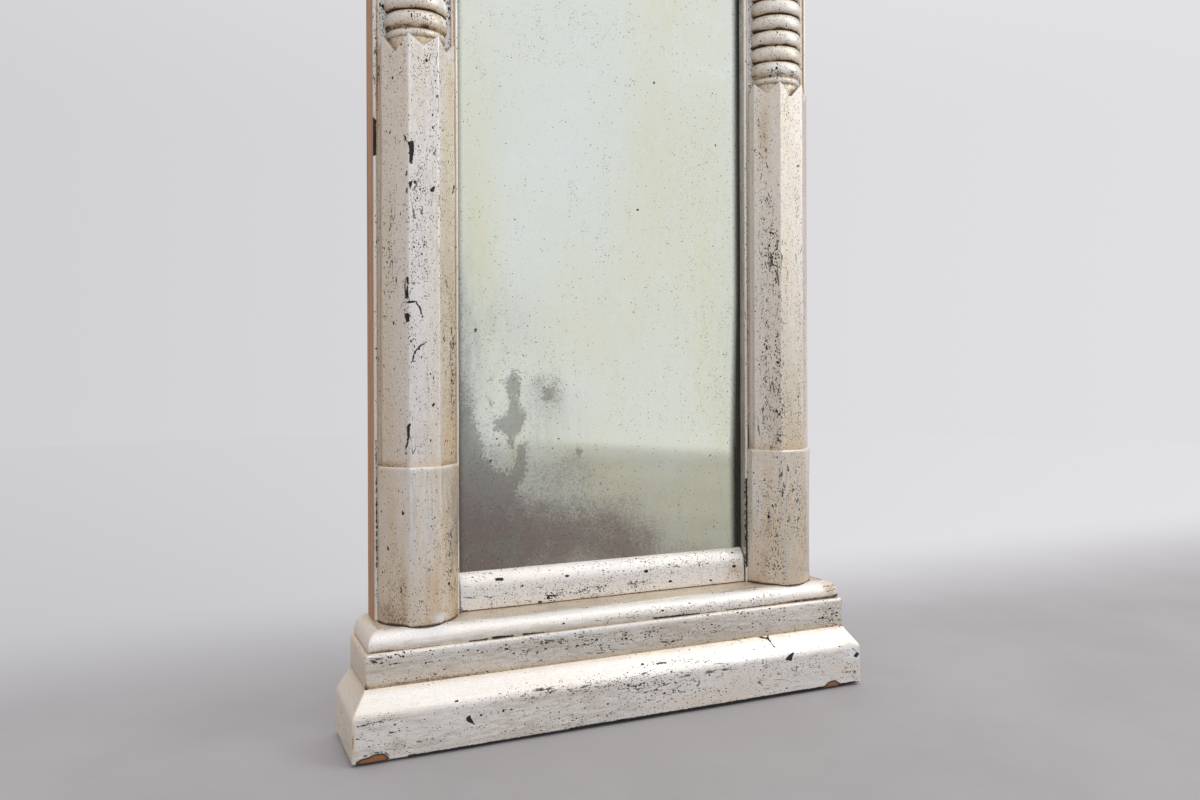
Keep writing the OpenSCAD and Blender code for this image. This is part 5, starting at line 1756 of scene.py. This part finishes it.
class PIERMIRROR_OT_plate(bpy.types.Operator):
    """Builds the old mirror plate"""
    bl_idname = "pier_mirror.plate"
    bl_label = "Plate"

    def execute(self, context):
        build_plate()
        return {"FINISHED"}


class PIERMIRROR_OT_carcass(bpy.types.Operator):
    """Finishes the stiles, rails, back and blocks"""
    bl_idname = "pier_mirror.carcass"
    bl_label = "Carcass"

    def execute(self, context):
        wood = settings().wood
        stain, old = tuple(wood.stain), tuple(wood.old)
        dress(["stile_left", "stile_right"], stile_material())
        dress(["bottom_rail", "top_rail"], pine_material("rail_pine", stain, (0.06, 1.0, 1.0), 9.0, 0.3))
        boards = [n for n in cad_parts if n.startswith("backboard_") and n != "backboard_nails"]
        dress(boards, pine_material("back_pine", old, (1.0, 1.0, 0.05), 14.0, 0.55))
        dress(["glazing_blocks", "plinth_blocks", "frieze_blocks"],
              pine_material("block_pine", old, (1.0, 1.0, 0.1), 10.0, 0.3))
        dress(["top_board"], pine_material("top_pine", old, (0.06, 1.0, 1.0), 12.0, 0.6))
        dress(["tenon_pegs"], pine_material("peg_wood", stain, (1.0, 0.1, 1.0), 20.0, 0.5))
        return {"FINISHED"}


class PIERMIRROR_OT_ironwork(bpy.types.Operator):
    """Finishes the nails, hangers and screws"""
    bl_idname = "pier_mirror.ironwork"
    bl_label = "Ironwork"

    def execute(self, context):
        names = ["backboard_nails", "hanger_screws", "hanger_plate_left", "hanger_plate_right",
                 "hanger_ring_left", "hanger_ring_right"]
        dress(names, iron_material())
        return {"FINISHED"}


class PierMirrorSettings(bpy.types.PropertyGroup):
    mouldings: bpy.props.PointerProperty(type=MouldingSizes)
    columns: bpy.props.PointerProperty(type=ColumnSizes)
    silver: bpy.props.PointerProperty(type=SilverFinish)
    plate: bpy.props.PointerProperty(type=PlateFinish)
    wood: bpy.props.PointerProperty(type=WoodFinish)
    stage: bpy.props.PointerProperty(type=StageSizes)


OPERATORS = (
    PIERMIRROR_OT_stage,
    PIERMIRROR_OT_plinth,
    PIERMIRROR_OT_entablature,
    PIERMIRROR_OT_columns,
    PIERMIRROR_OT_beads,
    PIERMIRROR_OT_sight,
    PIERMIRROR_OT_plate,
    PIERMIRROR_OT_carcass,
    PIERMIRROR_OT_ironwork,
)


class PIERMIRROR_PT_panel(bpy.types.Panel):
    bl_idname = "PIERMIRROR_PT_panel"
    bl_label = "Pier mirror"
    bl_space_type = "VIEW_3D"
    bl_region_type = "UI"
    bl_category = "Pier mirror"

    def draw(self, context):
        for operator in OPERATORS:
            self.layout.operator(operator.bl_idname)


CLASSES = (MouldingSizes, ColumnSizes, SilverFinish, PlateFinish, WoodFinish, StageSizes,
           PierMirrorSettings, *OPERATORS, PIERMIRROR_PT_panel)


def register():
    """Registers the classes and the scene's settings."""
    for item in CLASSES:
        bpy.utils.register_class(item)
    bpy.types.Scene.pier_mirror = bpy.props.PointerProperty(type=PierMirrorSettings)


def unregister():
    """Removes the settings and the classes."""
    del bpy.types.Scene.pier_mirror
    for item in reversed(CLASSES):
        bpy.utils.unregister_class(item)


def main():
    """Builds the whole scene."""
    register()
    bpy.ops.pier_mirror.stage()
    bpy.ops.pier_mirror.plinth()
    bpy.ops.pier_mirror.entablature()
    bpy.ops.pier_mirror.columns()
    bpy.ops.pier_mirror.beads()
    bpy.ops.pier_mirror.sight()
    bpy.ops.pier_mirror.plate()
    bpy.ops.pier_mirror.carcass()
    bpy.ops.pier_mirror.ironwork()


if __name__ == "__main__":
    main()
